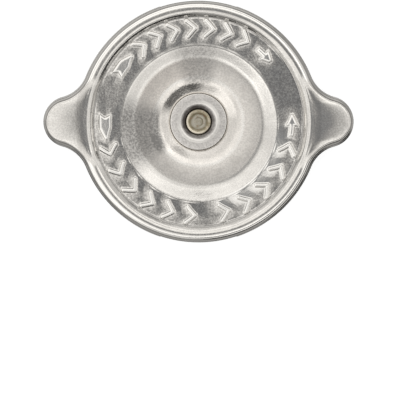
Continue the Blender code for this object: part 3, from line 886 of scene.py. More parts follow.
near_ear = ramp(angles, EAR_RISE_ANGLES)
shoulder_width = SHOULDER_WIDTH + (EAR_SHOULDER_WIDTH - SHOULDER_WIDTH) * near_ear


def edge_lift(angles):
    """How much higher the lower edge lies near an ear."""
    return EAR_EDGE_RISE * ramp(angles, EAR_EDGE_ANGLES)


def slope_section():
    """Radii and heights from the flat ring up the slope to the rim's crest."""
    fine, risen = section(RIM_SLOPES)
    radius = np.linspace(FOOT_RADIUS, CREST_RADIUS, SLOPE_ROWS)
    share = np.interp(radius, fine, risen / risen[-1])
    return radius, RECESS_HEIGHT + (RIM_HEIGHT - RECESS_HEIGHT) * share


def slope_rows():
    """Rows of the slope. Near the ears its top is a little higher, where the ear's root begins.

    The crest's circle lies a little to one side of the middle, and the slope leads over to it.
    """
    rows = []
    for radius, height in zip(*slope_section()):
        climbed = (height - RECESS_HEIGHT) / (RIM_HEIGHT - RECESS_HEIGHT)
        shift = CREST_SHIFT * min((radius - FOOT_RADIUS) / (SHIFTED_FROM - FOOT_RADIUS), 1.0)
        row = circle_row(angles, radius, height + EAR_ROOT_RISE * near_ear * climbed)
        rows.append(row + (0.0, shift, 0.0))
    return rows


def ear_top_rows(crest_row, count=11):
    """Rows from the rim's crest to the start of the shoulder, so over the whole top of each ear.

    The height rises from the crest's to the ear's, stays level, and then falls off ever more until it
    drops by EAR_FALL at the shoulder.
    """
    start = crest_row[:, :2]
    end = edge_row(columns, SHOULDER_INSET + shoulder_width, 0.0)[:, :2]
    length = np.hypot(*(end - start).T)
    rows = []
    for share in np.linspace(0.0, 1.0, count + 1):
        rise = EAR_ROOT_RISE + (EAR_RISE - EAR_ROOT_RISE) * ease(share / EAR_LEVEL_SHARE)
        sloping = 1.0 - EAR_LEVEL_SHARE
        fall = 0.5 * EAR_FALL * length * sloping * max((share - EAR_LEVEL_SHARE) / sloping, 0.0) ** 2
        height = RIM_HEIGHT + near_ear * (rise - fall)
        rows.append(np.column_stack((start + (end - start) * share, height)))
    return rows


def shoulder_rows(top_height, width, outer_inset, count=12):
    """Rows down the shoulder: a quarter of a squarish oval of that width, down to the crease.

    With a turn from a quarter down to nothing, the oval's point lies at the powers of its sine and
    cosine. The fall of the ear's top goes on into it.
    """
    power = 2.0 / SHOULDER_SQUARENESS
    foot = RIM_HEIGHT - SHOULDER_HEIGHT
    rows = []
    for turn in np.linspace(QUARTER_TURN, 0.0, count + 1):
        across = math.cos(turn) ** power if turn < QUARTER_TURN else 0.0
        up = math.sin(turn) ** power
        fall = EAR_FALL * near_ear * width * across * up
        inset = outer_inset + width * (1.0 - across)
        rows.append(edge_row(columns, inset, foot + (top_height - foot) * up - fall))
    return rows


def wall_rows(thickness):
    """Rows from the shoulder over the crease down the wall to the hem, that far inside the skin."""
    rows = []
    for share in np.linspace(0.0, 1.0, CREASE_STEPS + 1):
        inset = SHOULDER_INSET - (SHOULDER_INSET - WALL_TOP_INSET) * float(ease(share))
        rows.append(edge_row(columns, inset + thickness, CREASE_HEIGHT - CREASE_BAND * share))
    top = CREASE_HEIGHT - CREASE_BAND
    bottom = HEM_BASE + edge_lift(angles)
    for share in np.linspace(0.0, 1.0, WALL_STEPS + 1)[1:]:
        widened = float(ease((share - WALL_STRAIGHT_SHARE) / (1.0 - 2.0 * WALL_STRAIGHT_SHARE)))
        inset = WALL_TOP_INSET + (HEM_FLARE - WALL_TOP_INSET) * widened
        rows.append(edge_row(columns, inset + thickness, top + (bottom - top) * share))
    return rows


print("rim crest at", CREST_RADIUS, "mm, ears rise", round(EAR_RISE, 2), "mm")

# %% Rows of the hem and the claws
CLAW_SIDE_ROUNDING = 2.0
CLAW_DEPTH = 6.17
CLAW_BEND_RADIUS = 1.5
CLAW_SLOPE = math.radians(45.0)
HEM_STEPS = 6
BEND_STEPS = 8


def hem_inset(height, lift):
    """How far the hem lies inside the outline: it flares with the square of the way down."""
    return HEM_FLARE - HEM_FLARE * ((HEM_BASE + lift - height) / HEM_HEIGHT) ** 2


def lower_edge(angles):
    """Height of the skirt's lower edge: raised at the ears, with round-cornered notches."""
    from_claw = SKIRT_RADIUS * (QUARTER_TURN - from_ear(angles)) - 0.5 * CLAW_WIDTH
    into_corner = np.clip((NOTCH_WIDTH - from_claw) / NOTCH_HEIGHT, 0.0, 1.0)
    notch = NOTCH_HEIGHT * np.sqrt(1.0 - (1.0 - into_corner) ** 2)
    return EDGE_HEIGHT + edge_lift(angles) + notch


def hem_rows(part, part_angles, thickness):
    """Rows from the start of the hem down to the lower edge, that far inside the outer skin."""
    lift = edge_lift(part_angles)
    top = HEM_BASE + lift
    bottom = lower_edge(part_angles)
    heights = [top + (bottom - top) * share for share in np.linspace(0.0, 1.0, HEM_STEPS + 1)]
    return [edge_row(part, hem_inset(height, lift) + thickness, height) for height in heights]


def claw_path(thickness):
    """Radius and height along a claw's section, with the length along its outer side.

    Two bends join the hem to a slope and the slope to the flat hook. The inner side lies one
    thickness away along the normal, whose turn from level is kept for each point.
    """
    start_radius = SKIRT_RADIUS - float(hem_inset(NOTCH_TOP, 0.0))
    start = -math.atan(2.0 * HEM_FLARE * (HEM_BASE - NOTCH_TOP) / HEM_HEIGHT**2)
    first = np.linspace(start, CLAW_SLOPE, BEND_STEPS + 1)
    second = np.linspace(CLAW_SLOPE, QUARTER_TURN, BEND_STEPS + 1)
    first_radius = start_radius - CLAW_BEND_RADIUS * (math.cos(start) - np.cos(first))
    first_height = NOTCH_TOP - CLAW_BEND_RADIUS * (np.sin(first) - math.sin(start))
    drop = first_height[-1] - CLAW_BEND_RADIUS * (1.0 - math.sin(CLAW_SLOPE))
    second_start = first_radius[-1] - drop * math.tan(CLAW_SLOPE)
    second_radius = second_start - CLAW_BEND_RADIUS * (math.cos(CLAW_SLOPE) - np.cos(second))
    second_height = CLAW_BEND_RADIUS * (1.0 - np.sin(second))
    radius = np.concatenate((first_radius, second_radius, [SKIRT_RADIUS - CLAW_DEPTH]))
    height = np.concatenate((first_height, second_height, [0.0]))
    turn = np.maximum(np.concatenate((first, second, [QUARTER_TURN])), 0.0)
    length = np.concatenate(([0.0], np.cumsum(np.hypot(np.diff(radius), np.diff(height)))))
    return radius - thickness * np.cos(turn), height + thickness * np.sin(turn), length


def claw_rows(part, thickness):
    """Rows of one claw: the hem above the notches, then the bends and the flat hook.

    Its leading side is cut straight, and its trailing side is rounded back with the square of the
    way to the hook.
    """
    middle = part.normal[SHELL_STEPS.claw]
    heights = np.linspace(HEM_BASE, NOTCH_TOP, HEM_STEPS + 1)
    rows = [edge_row(part, hem_inset(height, 0.0) + thickness, height) for height in heights]
    radius, height, length = claw_path(thickness)
    outer_start = SKIRT_RADIUS - float(hem_inset(NOTCH_TOP, 0.0))
    side = outer_start * np.sin(part.normal - middle)
    across = (side - side[0]) / (side[-1] - side[0])
    rounding = CLAW_SIDE_ROUNDING * np.minimum(length / length[-2], 1.0) ** 2
    for r, h, cut in zip(radius[1:], height[1:], rounding[1:]):
        offset = side[0] + cut + (side[-1] - side[0] - cut) * across
        rows.append(circle_row(middle + np.arcsin(offset / r), r, h))
    return rows


print("lower edge from", round(float(lower_edge(angles).min()), 2), "mm, notch top at", NOTCH_TOP, "mm")

# %% [markdown]
# ## Sheet steel of the shell
#
# Tinned or zinc-plated sheet is grey and soft in its shine. Pressing polishes it where the tool
# rubbed, and a painted highlight brightens those high spots and the rim's shoulder further. Years
# of handling leave specks, dull patches, dirt and a darker bloom. Painted shade darkens the ears'
# roots and the corner at the rim's foot, and painted dark reflections streak the dome. The finish
# is a pale metal under coats of other shades, with a fine grain in its normal.
#
# A zone, a start or a pair of heights below gives the limits in millimetres between which a coat
# fades in, a side gives an azimuth, half a width and a softness in degrees, and a noise gives its
# scale, its detail and its roughness.

# %% Finish of the pressed sheet
STEEL = (0.80, 0.785, 0.76, 1.0)
STEEL_GRAIN = (0.40, 0.39, 0.38, 1.0)
STEEL_BLOOM_AND_SHADE = (0.52, 0.505, 0.485, 1.0)
STEEL_STRAW = (0.80, 0.75, 0.70, 1.0)
STEEL_SHADE_AND_DIRT = (0.24, 0.235, 0.23, 1.0)
STEEL_STREAK = (0.30, 0.295, 0.285, 1.0)
STEEL_RUBBED_HIGHLIGHT = (0.95, 0.94, 0.92, 1.0)
GRAIN_DEPTH = 1.3e-5
WAVE_DEPTH = 8.0e-5
TOP_HEIGHTS = (8.6, 9.2)
WALL_HEIGHTS = (9.0, 8.2)
DOME_ZONE = (11.8, 20.2, 0.8)
CROWN_ZONE = (12.4, 16.2, 0.8)
RING_ZONE = (20.8, 27.2, 0.5)
BOWL_ZONE = (7.4, 11.0, 0.6)
CORNER_ZONE = (27.2, 27.62, 0.15)
EAR_START = (30.0, 33.0)
ROOT_ZONE = (30.3, 31.8, 0.6)
ROOT_HEIGHTS = (11.75, 11.95)
SIGN_HEIGHTS = (10.74, 10.88)
CREST_ZONE = (30.0, 30.9, 0.3)
CREST_HEIGHTS = (10.2, 11.78, 0.2)
WARM_SIDE = (128.0, 28.0, 20.0)
# Zones and sides of the painted dark reflections on the dome.
SHADE_STREAK_ZONE = (10.7, 19.9, 0.9)
FAR_SHADE_SIDE = (91.0, 13.0, 12.0)
LEFT_SHADE_SIDE = (190.0, 24.0, 12.0)
SHADE_PATCH_ZONE = (11.2, 12.8, 0.6)
SHADE_PATCH_SIDE = (208.0, 9.0, 8.0)
GRAIN = (1.9, 1.0, 0.5)
WAVES = (0.2, 1.0, 0.5)
SPECK = (2.4, 1.0, 0.5)
SPECKLE = (1.9, 2.0, 0.65)
MOTTLE = (0.8, 3.0, 0.6)
BLOTCH = (0.35, 3.0, 0.6)
STREAKS = (1.1, 3.0, 0.6, (1.0, 1.0, 0.12))


def painted_streak_mask(skin):
    """Painted dark reflections: speckled dark streaks on the dome, spreading outwards from the bowl on
    two sides, and a dark patch near the crown.
    """
    shade_streaks = skin.facing(*FAR_SHADE_SIDE) * 0.64 + skin.facing(*LEFT_SHADE_SIDE) * 0.85
    shade_patch = skin.facing(*SHADE_PATCH_SIDE) * skin.radius.band(*SHADE_PATCH_ZONE) * 0.4
    speckle = skin.noise(*SPECKLE).step(0.25, 0.75)
    return (shade_streaks * skin.radius.band(*SHADE_STREAK_ZONE) + shade_patch) * (0.55 + speckle * 0.75)


def steel_finish():
    """Plated sheet: coats by radius and height, speckled by noise, with grain in the normal."""
    skin = Finish("plated_sheet")
    top = skin.z.step(*TOP_HEIGHTS)
    wall = skin.z.step(*WALL_HEIGHTS)
    zones = (DOME_ZONE, CROWN_ZONE, RING_ZONE, BOWL_ZONE, CORNER_ZONE)
    dome, crown, ring, bowl, foot_corner = (skin.radius.band(*zone) * top for zone in zones)
    ears = skin.radius.step(*EAR_START) * top
    roots = skin.radius.band(*ROOT_ZONE) * skin.z.step(*ROOT_HEIGHTS)
    crest = skin.radius.band(*CREST_ZONE) * skin.z.band(*CREST_HEIGHTS)
    # The signs' high spots and the rim's shoulder: rubbed wear and a painted highlight.
    high_spots = ring * skin.z.step(*SIGN_HEIGHTS) + crest
    mottle = skin.noise(*MOTTLE)
    blotch = skin.noise(*BLOTCH)
    streaks = skin.noise(*STREAKS)
    speckled = 0.19 + ring * 0.48 + ears * 0.08 + crown * 0.14 - high_spots * 0.36
    painted_streaks = painted_streak_mask(skin) * top
    dirt = 0.16 + streaks.step(0.42, 0.68) * 0.18 + mottle.step(0.4, 0.7) * 0.34
    colour = skin.coats(
        STEEL,
        (crown * (0.1 + blotch * 0.5 + skin.facing(*WARM_SIDE) * 0.5) + bowl * 0.35, STEEL_STRAW),
        # Bloom on blotches and the crown, and painted shade on the ears' roots.
        (blotch.step(0.35, 0.75) * 0.2 + roots * 0.40 + crown * 0.12, STEEL_BLOOM_AND_SHADE),
        (skin.noise(*SPECK).step(0.35, 0.65) * speckled, STEEL_GRAIN),
        # Painted shade with some dirt in the corner at the rim's foot.
        (foot_corner * (0.35 + blotch * 0.3), STEEL_SHADE_AND_DIRT),
        # Rubbed wear with a painted highlight on the high spots and the shoulder.
        (high_spots * 0.85, STEEL_RUBBED_HIGHLIGHT),
        # Painted dark reflection: darker streaks and a patch on the dome.
        (painted_streaks, STEEL_SHADE_AND_DIRT),
        (wall * dirt, STEEL_STREAK),
    )
    rough = 0.11 + dome * 0.05 + crown * 0.10 + blotch * 0.04 + painted_streaks * 0.08
    rough = rough + wall * (0.06 + mottle * 0.12)
    waves = skin.relief(skin.noise(*WAVES), WAVE_DEPTH)
    grain = skin.noise(*GRAIN) * (1.0 - (ears + crown) * 0.5) + mottle * wall * 2.5
    return skin.done(colour, rough, skin.relief(grain, GRAIN_DEPTH, waves))


plated_sheet = steel_finish()
print("finish:", plated_sheet.name)

# %% [markdown]
# ## The shell
#
# All the rows come together here. The signs need a much finer grid than the rest, so their ring has
# more columns, and two rings of triangles join it to its neighbours. A narrow bevel takes the
# sharpness off the sheet's cut edges, which are what sparkles on a real pressing.

# %% Press the shell
SIGN_COLUMNS = 900
SIGN_ROWS = 44
SIGN_START = DOME_EDGE + 0.12
SIGN_END = FOOT_RADIUS - 0.08
UNDER_FOOT_RADIUS = FOOT_RADIUS + 0.3
SIGN_FADE = 0.3
CUT_EDGE = 0.1
UNDER_STRIDE = 3
sign_angles = np.arange(SIGN_COLUMNS) * FULL_TURN / SIGN_COLUMNS


def inner_rows():
    """Rows of the inner skin, from the hole to the start of the hem."""
    radius, height = inner_line(dome_radii, dome_height(dome_radii))
    radius[0] = HOLE_RADIUS
    rows = [dome_row(angles, r, h) for r, h in zip(radius[::UNDER_STRIDE], height[::UNDER_STRIDE])]
    under_ring = RECESS_HEIGHT - SHEET
    foot = circle_row(angles, UNDER_FOOT_RADIUS, under_ring)
    middle = circle_row(angles, 0.5 * (SIGN_START + SIGN_END), under_ring)
    crest = circle_row(angles, CREST_RADIUS, RIM_HEIGHT - SHEET + EAR_ROOT_RISE * near_ear)
    rows += [middle, foot, crest]
    rows += ear_top_under(crest)
    rows += shoulder_rows(rows[-1][:, 2], shoulder_width - SHEET, SHOULDER_INSET + SHEET, count=6)
    return rows + wall_rows(SHEET)


def ear_top_under(crest):
    """Rows of the inner skin under each ear's top, one sheet below the rows above it."""
    upper = ear_top_rows(slope_rows()[-1])
    end = edge_row(columns, SHOULDER_INSET + shoulder_width, 0.0)[:, :2]
    start = crest[:, :2]
    rows = []
    for share, above in list(zip(np.linspace(0.0, 1.0, len(upper)), upper))[2::UNDER_STRIDE]:
        rows.append(np.column_stack((start + (end - start) * share, above[:, 2] - SHEET)))
    return rows


def sign_ring():
    """The flat ring with its signs. Its inner edge follows the dome, and its outer edge the rim."""
    share = np.linspace(0.0, 1.0, SIGN_ROWS + 1)[:, None]
    radius = SIGN_START + (SIGN_END - SIGN_START) * share
    x = radius * np.cos(sign_angles) + DOME_SHIFT[0] * (1.0 - share)
    y = radius * np.sin(sign_angles) + DOME_SHIFT[1] * (1.0 - share)
    fade = ease((radius - SIGN_START) / SIGN_FADE) * ease((SIGN_END - radius) / SIGN_FADE)
    relief = sign_height(np.hypot(x, y), np.arctan2(y, x)) * fade
    height = RECESS_HEIGHT + relief + foot_swell(radius, sign_angles)
    return np.stack((x, y, height), axis=-1)


def press_shell():
    """Weld both skins, the hole's edge, the lower edge and the claws into one closed sheet."""
    work = Patchwork()
    dome = [dome_row(angles, r, h) for r, h in zip(dome_radii, dome_height(dome_radii))]
    ring = sign_ring()
    slope = slope_rows()
    work.zipper(dome[-1], ring[0], angles, sign_angles)
    work.zipper(ring[-1], slope[0], sign_angles, angles)

    upper = slope + ear_top_rows(slope[-1])[1:]
    upper += shoulder_rows(upper[-1][:, 2], shoulder_width, SHOULDER_INSET)[1:]
    upper += wall_rows(0.0)
    under = inner_rows()
    for rows in (dome, ring, upper, under, [dome[0], under[0]]):
        work.grid(rows)

    for claw in (quarter, 3 * quarter):
        half = SHELL_STEPS.claw
        along_claw = np.arange(claw - half, claw + half + 1)
        to_next_claw = np.arange(claw + half, claw + 2 * quarter - half + 1) % len(angles)
        claw_part = Columns(*(values[along_claw] for values in columns))
        hem_part = Columns(*(values[to_next_claw] for values in columns))
        claw_skins = [claw_rows(claw_part, depth) for depth in (0.0, SHEET)]
        hem_skins = [hem_rows(hem_part, angles[to_next_claw], depth) for depth in (0.0, SHEET)]
        for skins in (claw_skins, hem_skins):
            work.strips(*skins, [rows[-1] for rows in skins])
        for side in (0, -1):
            work.strips([[row[side] for row in rows[HEM_STEPS:]] for rows in claw_skins])
    return work.mesh("pressed_shell")


shell = dress(press_shell(), "shell", plated_sheet, sharp_angle=50.0, bevel=CUT_EDGE, bevel_angle=60.0)
print("shell box:", [round(value / MM, 2) for value in shell.dimensions])

# %% [markdown]
# ## Turned pieces
#
# Washers, the rivet, the seal plate, the rubber ring and its retainer are all round. Each is a
# section of radius and height, carried round the axis. Short arcs or narrow bevels round its edges,
# as a punch or a mould leaves them.

# %% Turn a section round the axis
SMALL_ROUND = 128
MEDIUM_ROUND = 160
LARGE_ROUND = 192


def turned(name, section, steps=SMALL_ROUND):
    """Carry a closed section of radius and height round the axis. A point on the axis closes a pole."""
    work = Patchwork()
    spin = np.arange(steps) * FULL_TURN / steps
    work.grid([circle_row(spin, radius, height) for radius, height in [*section, section[0]]])
    return work.mesh(name)


def corner(centre, radius, start, end, count=5):
    """Points of an arc round a centre, from one angle to another, in degrees."""
    turn = np.radians(np.linspace(start, end, count))
    return list(zip(centre[0] + radius * np.cos(turn), centre[1] + radius * np.sin(turn)))


def parallel(line, thickness):
    """A pressed sheet's closed section: a line and its mitred parallel on the lower side."""
    points = np.array(line)
    along = np.diff(points, axis=0)
    along /= np.hypot(*along.T)[:, None]
    down = np.column_stack((along[:, 1], -along[:, 0]))
    before = np.vstack((down[:1], down))
    after = np.vstack((down, down[-1:]))
    mitre = (before + after) / (1.0 + np.sum(before * after, axis=1))[:, None]
    return [tuple(point) for point in np.vstack((points, (points + thickness * mitre)[::-1]))]


# %% [markdown]
# ## Centre washer
#
# The washer in the bowl is a blanked disc, dished down to the rivet. Tumbling in a barrel has given
# it a cool satin skin. Painted shade with some grime darkens the dish round the rivet, and a painted
# highlight brightens its lip and rim.

# %% Make the centre washer
WASHER_RADIUS, WASHER_BOTTOM, WASHER_TOP = node_sizes("centre_washer")
WASHER_SHEET = 0.7
WASHER_RING = 5.1
SINK_RADIUS = 3.54
WASHER_EDGE = 0.18
WASHER_STEEL = (0.76, 0.74, 0.72, 1.0)
WASHER_DULL = (0.44, 0.43, 0.42, 1.0)
WASHER_LIP_HIGHLIGHT = (0.93, 0.91, 0.88, 1.0)
WASHER_SHADE_AND_GRIME = (0.10, 0.09, 0.085, 1.0)
WASHER_SLOPE_POINTS = 14
WASHER_GRAIN_DEPTH = 2.0e-5
TUMBLED = (1.9, 2.0, 0.5)
SMUTS = (0.8, 2.0, 0.5)
DISH_SHADE_START = (4.9, 3.95)
LIP_ZONE = (4.75, 5.45, 0.3)
WASHER_RIM = (7.1, 7.3)
SHADED_SIDE = (140.0, 90.0, 60.0)
GLINTS = ((40.0, 30.0, 30.0), (240.0, 45.0, 30.0))


def make_washer():
    """Dished washer: a quarter sine from the hole's edge up to the flat ring, with rounded rims."""
    share = np.linspace(0.0, 1.0, WASHER_SLOPE_POINTS)
    centre_top = WASHER_BOTTOM + WASHER_SHEET
    ring_bottom = WASHER_TOP - WASHER_SHEET
    upper_radius = SINK_RADIUS + (WASHER_RING - SINK_RADIUS) * share
    upper_height = centre_top + (WASHER_TOP - centre_top) * np.sin(share * QUARTER_TURN)
    under_start = WASHER_RING + 0.5 * WASHER_SHEET
    under_end = SINK_RADIUS + WASHER_SHEET
    under_radius = under_start + (under_end - under_start) * share
    under_height = ring_bottom + (WASHER_BOTTOM - ring_bottom) * (1.0 - np.cos(share * QUARTER_TURN))
    outer = WASHER_RADIUS - WASHER_EDGE
    rims = corner((outer, WASHER_TOP - WASHER_EDGE), WASHER_EDGE, 90.0, 0.0)
    rims += corner((outer, ring_bottom + WASHER_EDGE), WASHER_EDGE, 0.0, -90.0)
    section = [*zip(upper_radius, upper_height), *rims, *zip(under_radius, under_height)]
    return turned("dished_washer", section + [(HOLE_RADIUS, WASHER_BOTTOM)])


def washer_finish():
    """Satin steel, cool grey, with tumbling marks, painted shade with grime in the dish, and a painted
    highlight on the lip and rim.
    """
    skin = Finish("tumbled_steel")
    tumbled = skin.noise(*TUMBLED)
    blotch = skin.noise(*SMUTS)
    speck = skin.noise(*SPECK).step(0.35, 0.65)
    # Painted shade with some grime on the dish round the rivet, darker on one side.
    dish_shade_and_grime = skin.radius.step(*DISH_SHADE_START) * (0.44 + blotch * 0.6 + skin.facing(*SHADED_SIDE) * 0.25)
    # Painted highlight on the dish's lip at two glints, and on the washer's outer rim.
    glints = skin.facing(*GLINTS[0]) + skin.facing(*GLINTS[1])
    lip = skin.radius.band(*LIP_ZONE) * (0.35 + glints * 0.65) + skin.radius.step(*WASHER_RIM)
    colour = skin.coats(
        WASHER_STEEL,
        (speck * 0.45 + blotch.step(0.3, 0.8) * 0.3, WASHER_DULL),
        (lip * 0.85, WASHER_LIP_HIGHLIGHT),
        (dish_shade_and_grime, WASHER_SHADE_AND_GRIME),
    )
    rough = 0.28 + tumbled * 0.08 + dish_shade_and_grime * 0.15
    return skin.done(colour, rough, skin.relief(tumbled, WASHER_GRAIN_DEPTH))


dress(make_washer(), "centre_washer", washer_finish())
print("washer radius", round(WASHER_RADIUS, 2), "mm")

# %% [markdown]
# ## Rivet
#
# The rivet's upper end has been spun out into the washer. Spinning leaves rings, the plating has
# yellowed to a dull olive, and rust freckles sit in the rings. Painted shade darkens the hollow in the
# end, and a painted highlight lights its rim, most on one side. Its pan head is on the underside.

# %% Make the rivet
RIVET_RADIUS = 2.7
RIVET_END_RADIUS = 3.24
RIVET_END_RISE = 0.4
RIVET_HEAD_RADIUS, RIVET_HEAD_BOTTOM, RIVET_TOP = node_sizes("rivet")
RIVET_HEAD_EDGE = 0.6
RIVET_HEAD_HEIGHT = 1.3
RIVET_CONE_RISE = 0.3
RIVET_CHAMFER = 0.1
RIVET_RIM_ROUNDING = 0.3
RIVET_RIM_LIFT = 0.08
RIVET_RIM_ARC = (-12.0, 70.0)
RIVET_TOP_INSET = 0.24
RIVET_TOP_LIFT = 0.365
RIM_DROP = 0.13
RIM_WIDTH = 0.75
RIVET_TOP_POINTS = 40
SPUN_GROOVES = ((0.03, 1.25, 0.14), (0.02, 0.75, 0.12))
RIVET_OLIVE = (0.30, 0.265, 0.18, 1.0)
RIVET_TAN = (0.50, 0.455, 0.36, 1.0)
RIVET_GREY = (0.47, 0.45, 0.39, 1.0)
RIVET_CREAM_HIGHLIGHT = (0.80, 0.74, 0.62, 1.0)
RIVET_SHADE = (0.12, 0.10, 0.055, 1.0)
RIVET_RUST = (0.26, 0.13, 0.09, 1.0)
RIVET_GRAIN_DEPTH = 2.4e-5
YELLOWING = (1.1, 3.0, 0.6)
FRECKLES = (1.7, 2.0, 0.6)
RING_TURN_IN_MM = 11.0
RING_WANDER = 3.0
END_HEIGHTS = (8.0, 9.0)
MIDDLE_START = (2.15, 1.75)
RIM_HIGHLIGHT_START = (2.6, 2.8)
RIM_HIGHLIGHT_SIDE = (215.0, 80.0, 45.0)
RIM_START = (2.7, 2.95)
HOLLOW_ZONE = (2.0, 2.35, 0.25)
HOLLOW_SIDE = (75.0, 60.0, 50.0)
TURNED_ZONE = (0.95, 1.2, 0.2)
TURNED_SIDE = (30.0, 110.0, 40.0)
RUSTY_ZONES = ((1.1, 1.35, 0.15), (2.1, 2.45, 0.2))


def make_rivet():
    """Pan head, shank and spun end. The end's top has a raised rim, a hollow and fine grooves.

    Each groove is a bell curve with a depth, a radius and a width.
    """
    cone_top = RIVET_TOP - RIVET_END_RISE
    head_top = RIVET_HEAD_BOTTOM + RIVET_HEAD_HEIGHT
    edge_centre = (RIVET_HEAD_RADIUS - RIVET_HEAD_EDGE, RIVET_HEAD_BOTTOM + RIVET_HEAD_EDGE)
    section = [(0.0, RIVET_HEAD_BOTTOM)] + corner(edge_centre, RIVET_HEAD_EDGE, -90.0, 0.0, 7)
    section.append((RIVET_HEAD_RADIUS, head_top - RIVET_CHAMFER))
    section.append((RIVET_HEAD_RADIUS - RIVET_CHAMFER, head_top))
    section += [(RIVET_RADIUS, head_top), (RIVET_RADIUS, FLOOR_HEIGHT + RIVET_CONE_RISE)]
    rim_centre = (RIVET_END_RADIUS - RIVET_RIM_ROUNDING, cone_top + RIVET_RIM_LIFT)
    section += corner(rim_centre, RIVET_RIM_ROUNDING, *RIVET_RIM_ARC, 8)
    radius = np.linspace(RIVET_END_RADIUS - RIVET_TOP_INSET, 0.0, RIVET_TOP_POINTS)
    height = cone_top + RIVET_TOP_LIFT - RIM_DROP * ease((radius[0] - radius) / RIM_WIDTH)
    for depth, middle, width in SPUN_GROOVES:
        height -= depth * np.exp(-(((radius - middle) / width) ** 2))
    return turned("spun_rivet", [*section, *zip(radius, height)])


def rivet_finish():
    """Yellowed plating over steel: olive and tan blotches, turning rings, rust freckles, painted shade in
    the hollow and a painted highlight on the rim.
    """
    skin = Finish("yellowed_plating")
    blotch = skin.noise(*YELLOWING)
    freckle = skin.noise(*FRECKLES).step(0.56, 0.68)
    rings = (skin.radius * RING_TURN_IN_MM + blotch * RING_WANDER).math("SINE") * 0.5 + 0.5
    end = skin.z.step(*END_HEIGHTS)
    middle = skin.radius.step(*MIDDLE_START) * end
    # Painted highlight on the spun rim, strongest on one side.
    rim_highlight = skin.facing(*RIM_HIGHLIGHT_SIDE) * skin.radius.step(*RIM_HIGHLIGHT_START) * end
    hollow = skin.radius.band(*HOLLOW_ZONE) * (0.45 + skin.facing(*HOLLOW_SIDE) * 0.35)
    turned_ring = skin.radius.band(*TURNED_ZONE) * skin.facing(*TURNED_SIDE) * 0.5
    rusty = skin.radius.band(*RUSTY_ZONES[0]) + skin.radius.band(*RUSTY_ZONES[1])
    colour = skin.coats(
        RIVET_OLIVE,
        (blotch.step(0.35, 0.65), RIVET_TAN),
        (middle * (0.30 + blotch.step(0.3, 0.6) * 0.6), RIVET_GREY),
        ((hollow + turned_ring + rings * middle * 0.15) * end, RIVET_SHADE),
        (rim_highlight * 0.85 + skin.radius.step(*RIM_START) * end * 0.15, RIVET_CREAM_HIGHLIGHT),
        (freckle * (0.25 + rusty * 0.55), RIVET_RUST),
    )
    surface = rings * 0.35 + blotch * 0.65
    return skin.done(colour, 0.30 + blotch * 0.12, skin.relief(surface, RIVET_GRAIN_DEPTH))


dress(make_rivet(), "rivet", rivet_finish())
print("rivet from", round(RIVET_HEAD_BOTTOM, 2), "to", round(RIVET_TOP, 2), "mm")

# %% [markdown]
# ## Thrust washer and seal plate
#
# Under the shell, a plain blanked washer lets the seal plate turn on the rivet's head. The plate is
# a pressed dish with a lip round the rubber. Both are zinc-plated and hidden in use, so they are
# cleaner than the shell, with rolling marks and a little water stain.

# %% Make the thrust washer and the seal plate
THRUST_RADIUS, THRUST_BOTTOM, THRUST_TOP = node_sizes("thrust_washer")
PLATE_RADIUS, PLATE_FOOT, PLATE_TOP = node_sizes("seal_plate")
PLATE_SHEET = 0.5
PLATE_DISH = 0.6
PLATE_SLOPE_WIDTH = 1.6
PLATE_DISH_RADIUS = 10.6
PLATE_CORNER = 0.5
BLANKED_EDGE = 0.08
PLATE_SLOPE_POINTS = 12
ZINC = (0.62, 0.62, 0.61, 1.0)
ZINC_STAIN = (0.40, 0.39, 0.37, 1.0)
PLATE_ZINC = (0.58, 0.58, 0.575, 1.0)
PLATE_STAIN = (0.36, 0.35, 0.33, 1.0)
ZINC_GRAIN_DEPTH = 9.0e-6
ROLLED = (1.2, 2.0, 0.5, (0.2, 2.5, 2.5))
SPANGLE = (0.9, 3.0, 0.6)
STAINS = (0.22, 3.0, 0.65)


def make_thrust_washer():
    """A flat blanked washer."""
    section = [
        (HOLE_RADIUS, THRUST_TOP),
        (THRUST_RADIUS, THRUST_TOP),
        (THRUST_RADIUS, THRUST_BOTTOM),
        (HOLE_RADIUS, THRUST_BOTTOM),
    ]
    return turned("plain_washer", section)


def make_seal_plate():
    """A dish eased up from its floor to its ring, and a rounded lip turned down at its edge."""
    floor = PLATE_TOP - PLATE_DISH
    share = np.linspace(0.0, 1.0, PLATE_SLOPE_POINTS)
    slope_radius = PLATE_DISH_RADIUS + PLATE_SLOPE_WIDTH * (share - 1.0)
    line = [(HOLE_RADIUS, floor), *zip(slope_radius, floor + PLATE_DISH * ease(share))]
    line += corner((PLATE_RADIUS - PLATE_CORNER, PLATE_TOP - PLATE_CORNER), PLATE_CORNER, 90.0, 0.0, 8)
    return turned("dished_plate", parallel([*line, (PLATE_RADIUS, PLATE_FOOT)], PLATE_SHEET), LARGE_ROUND)


def zinc_finish(name, base, stain, smoothest):
    """Bright zinc with fine spangle, rolling marks along one way, and dull stains."""
    skin = Finish(name)
    rolled = skin.noise(*ROLLED)
    spangle = skin.noise(*SPANGLE)
    stained = skin.noise(*STAINS).step(0.5, 0.72)
    colour = skin.coats(base, (spangle * 0.3, stain), (stained * 0.7, stain))
    rough = smoothest + spangle * 0.08 + stained * 0.12
    return skin.done(colour, rough, skin.relief(rolled * 0.5 + spangle * 0.5, ZINC_GRAIN_DEPTH))


bright_zinc = zinc_finish("bright_zinc", ZINC, ZINC_STAIN, 0.26)
dress(make_thrust_washer(), "thrust_washer", bright_zinc, bevel=BLANKED_EDGE)
plate_zinc = zinc_finish("plate_zinc", PLATE_ZINC, PLATE_STAIN, 0.28)
dress(make_seal_plate(), "seal_plate", plate_zinc, bevel=BLANKED_EDGE)
print("plate radius", round(PLATE_RADIUS, 2), "mm")

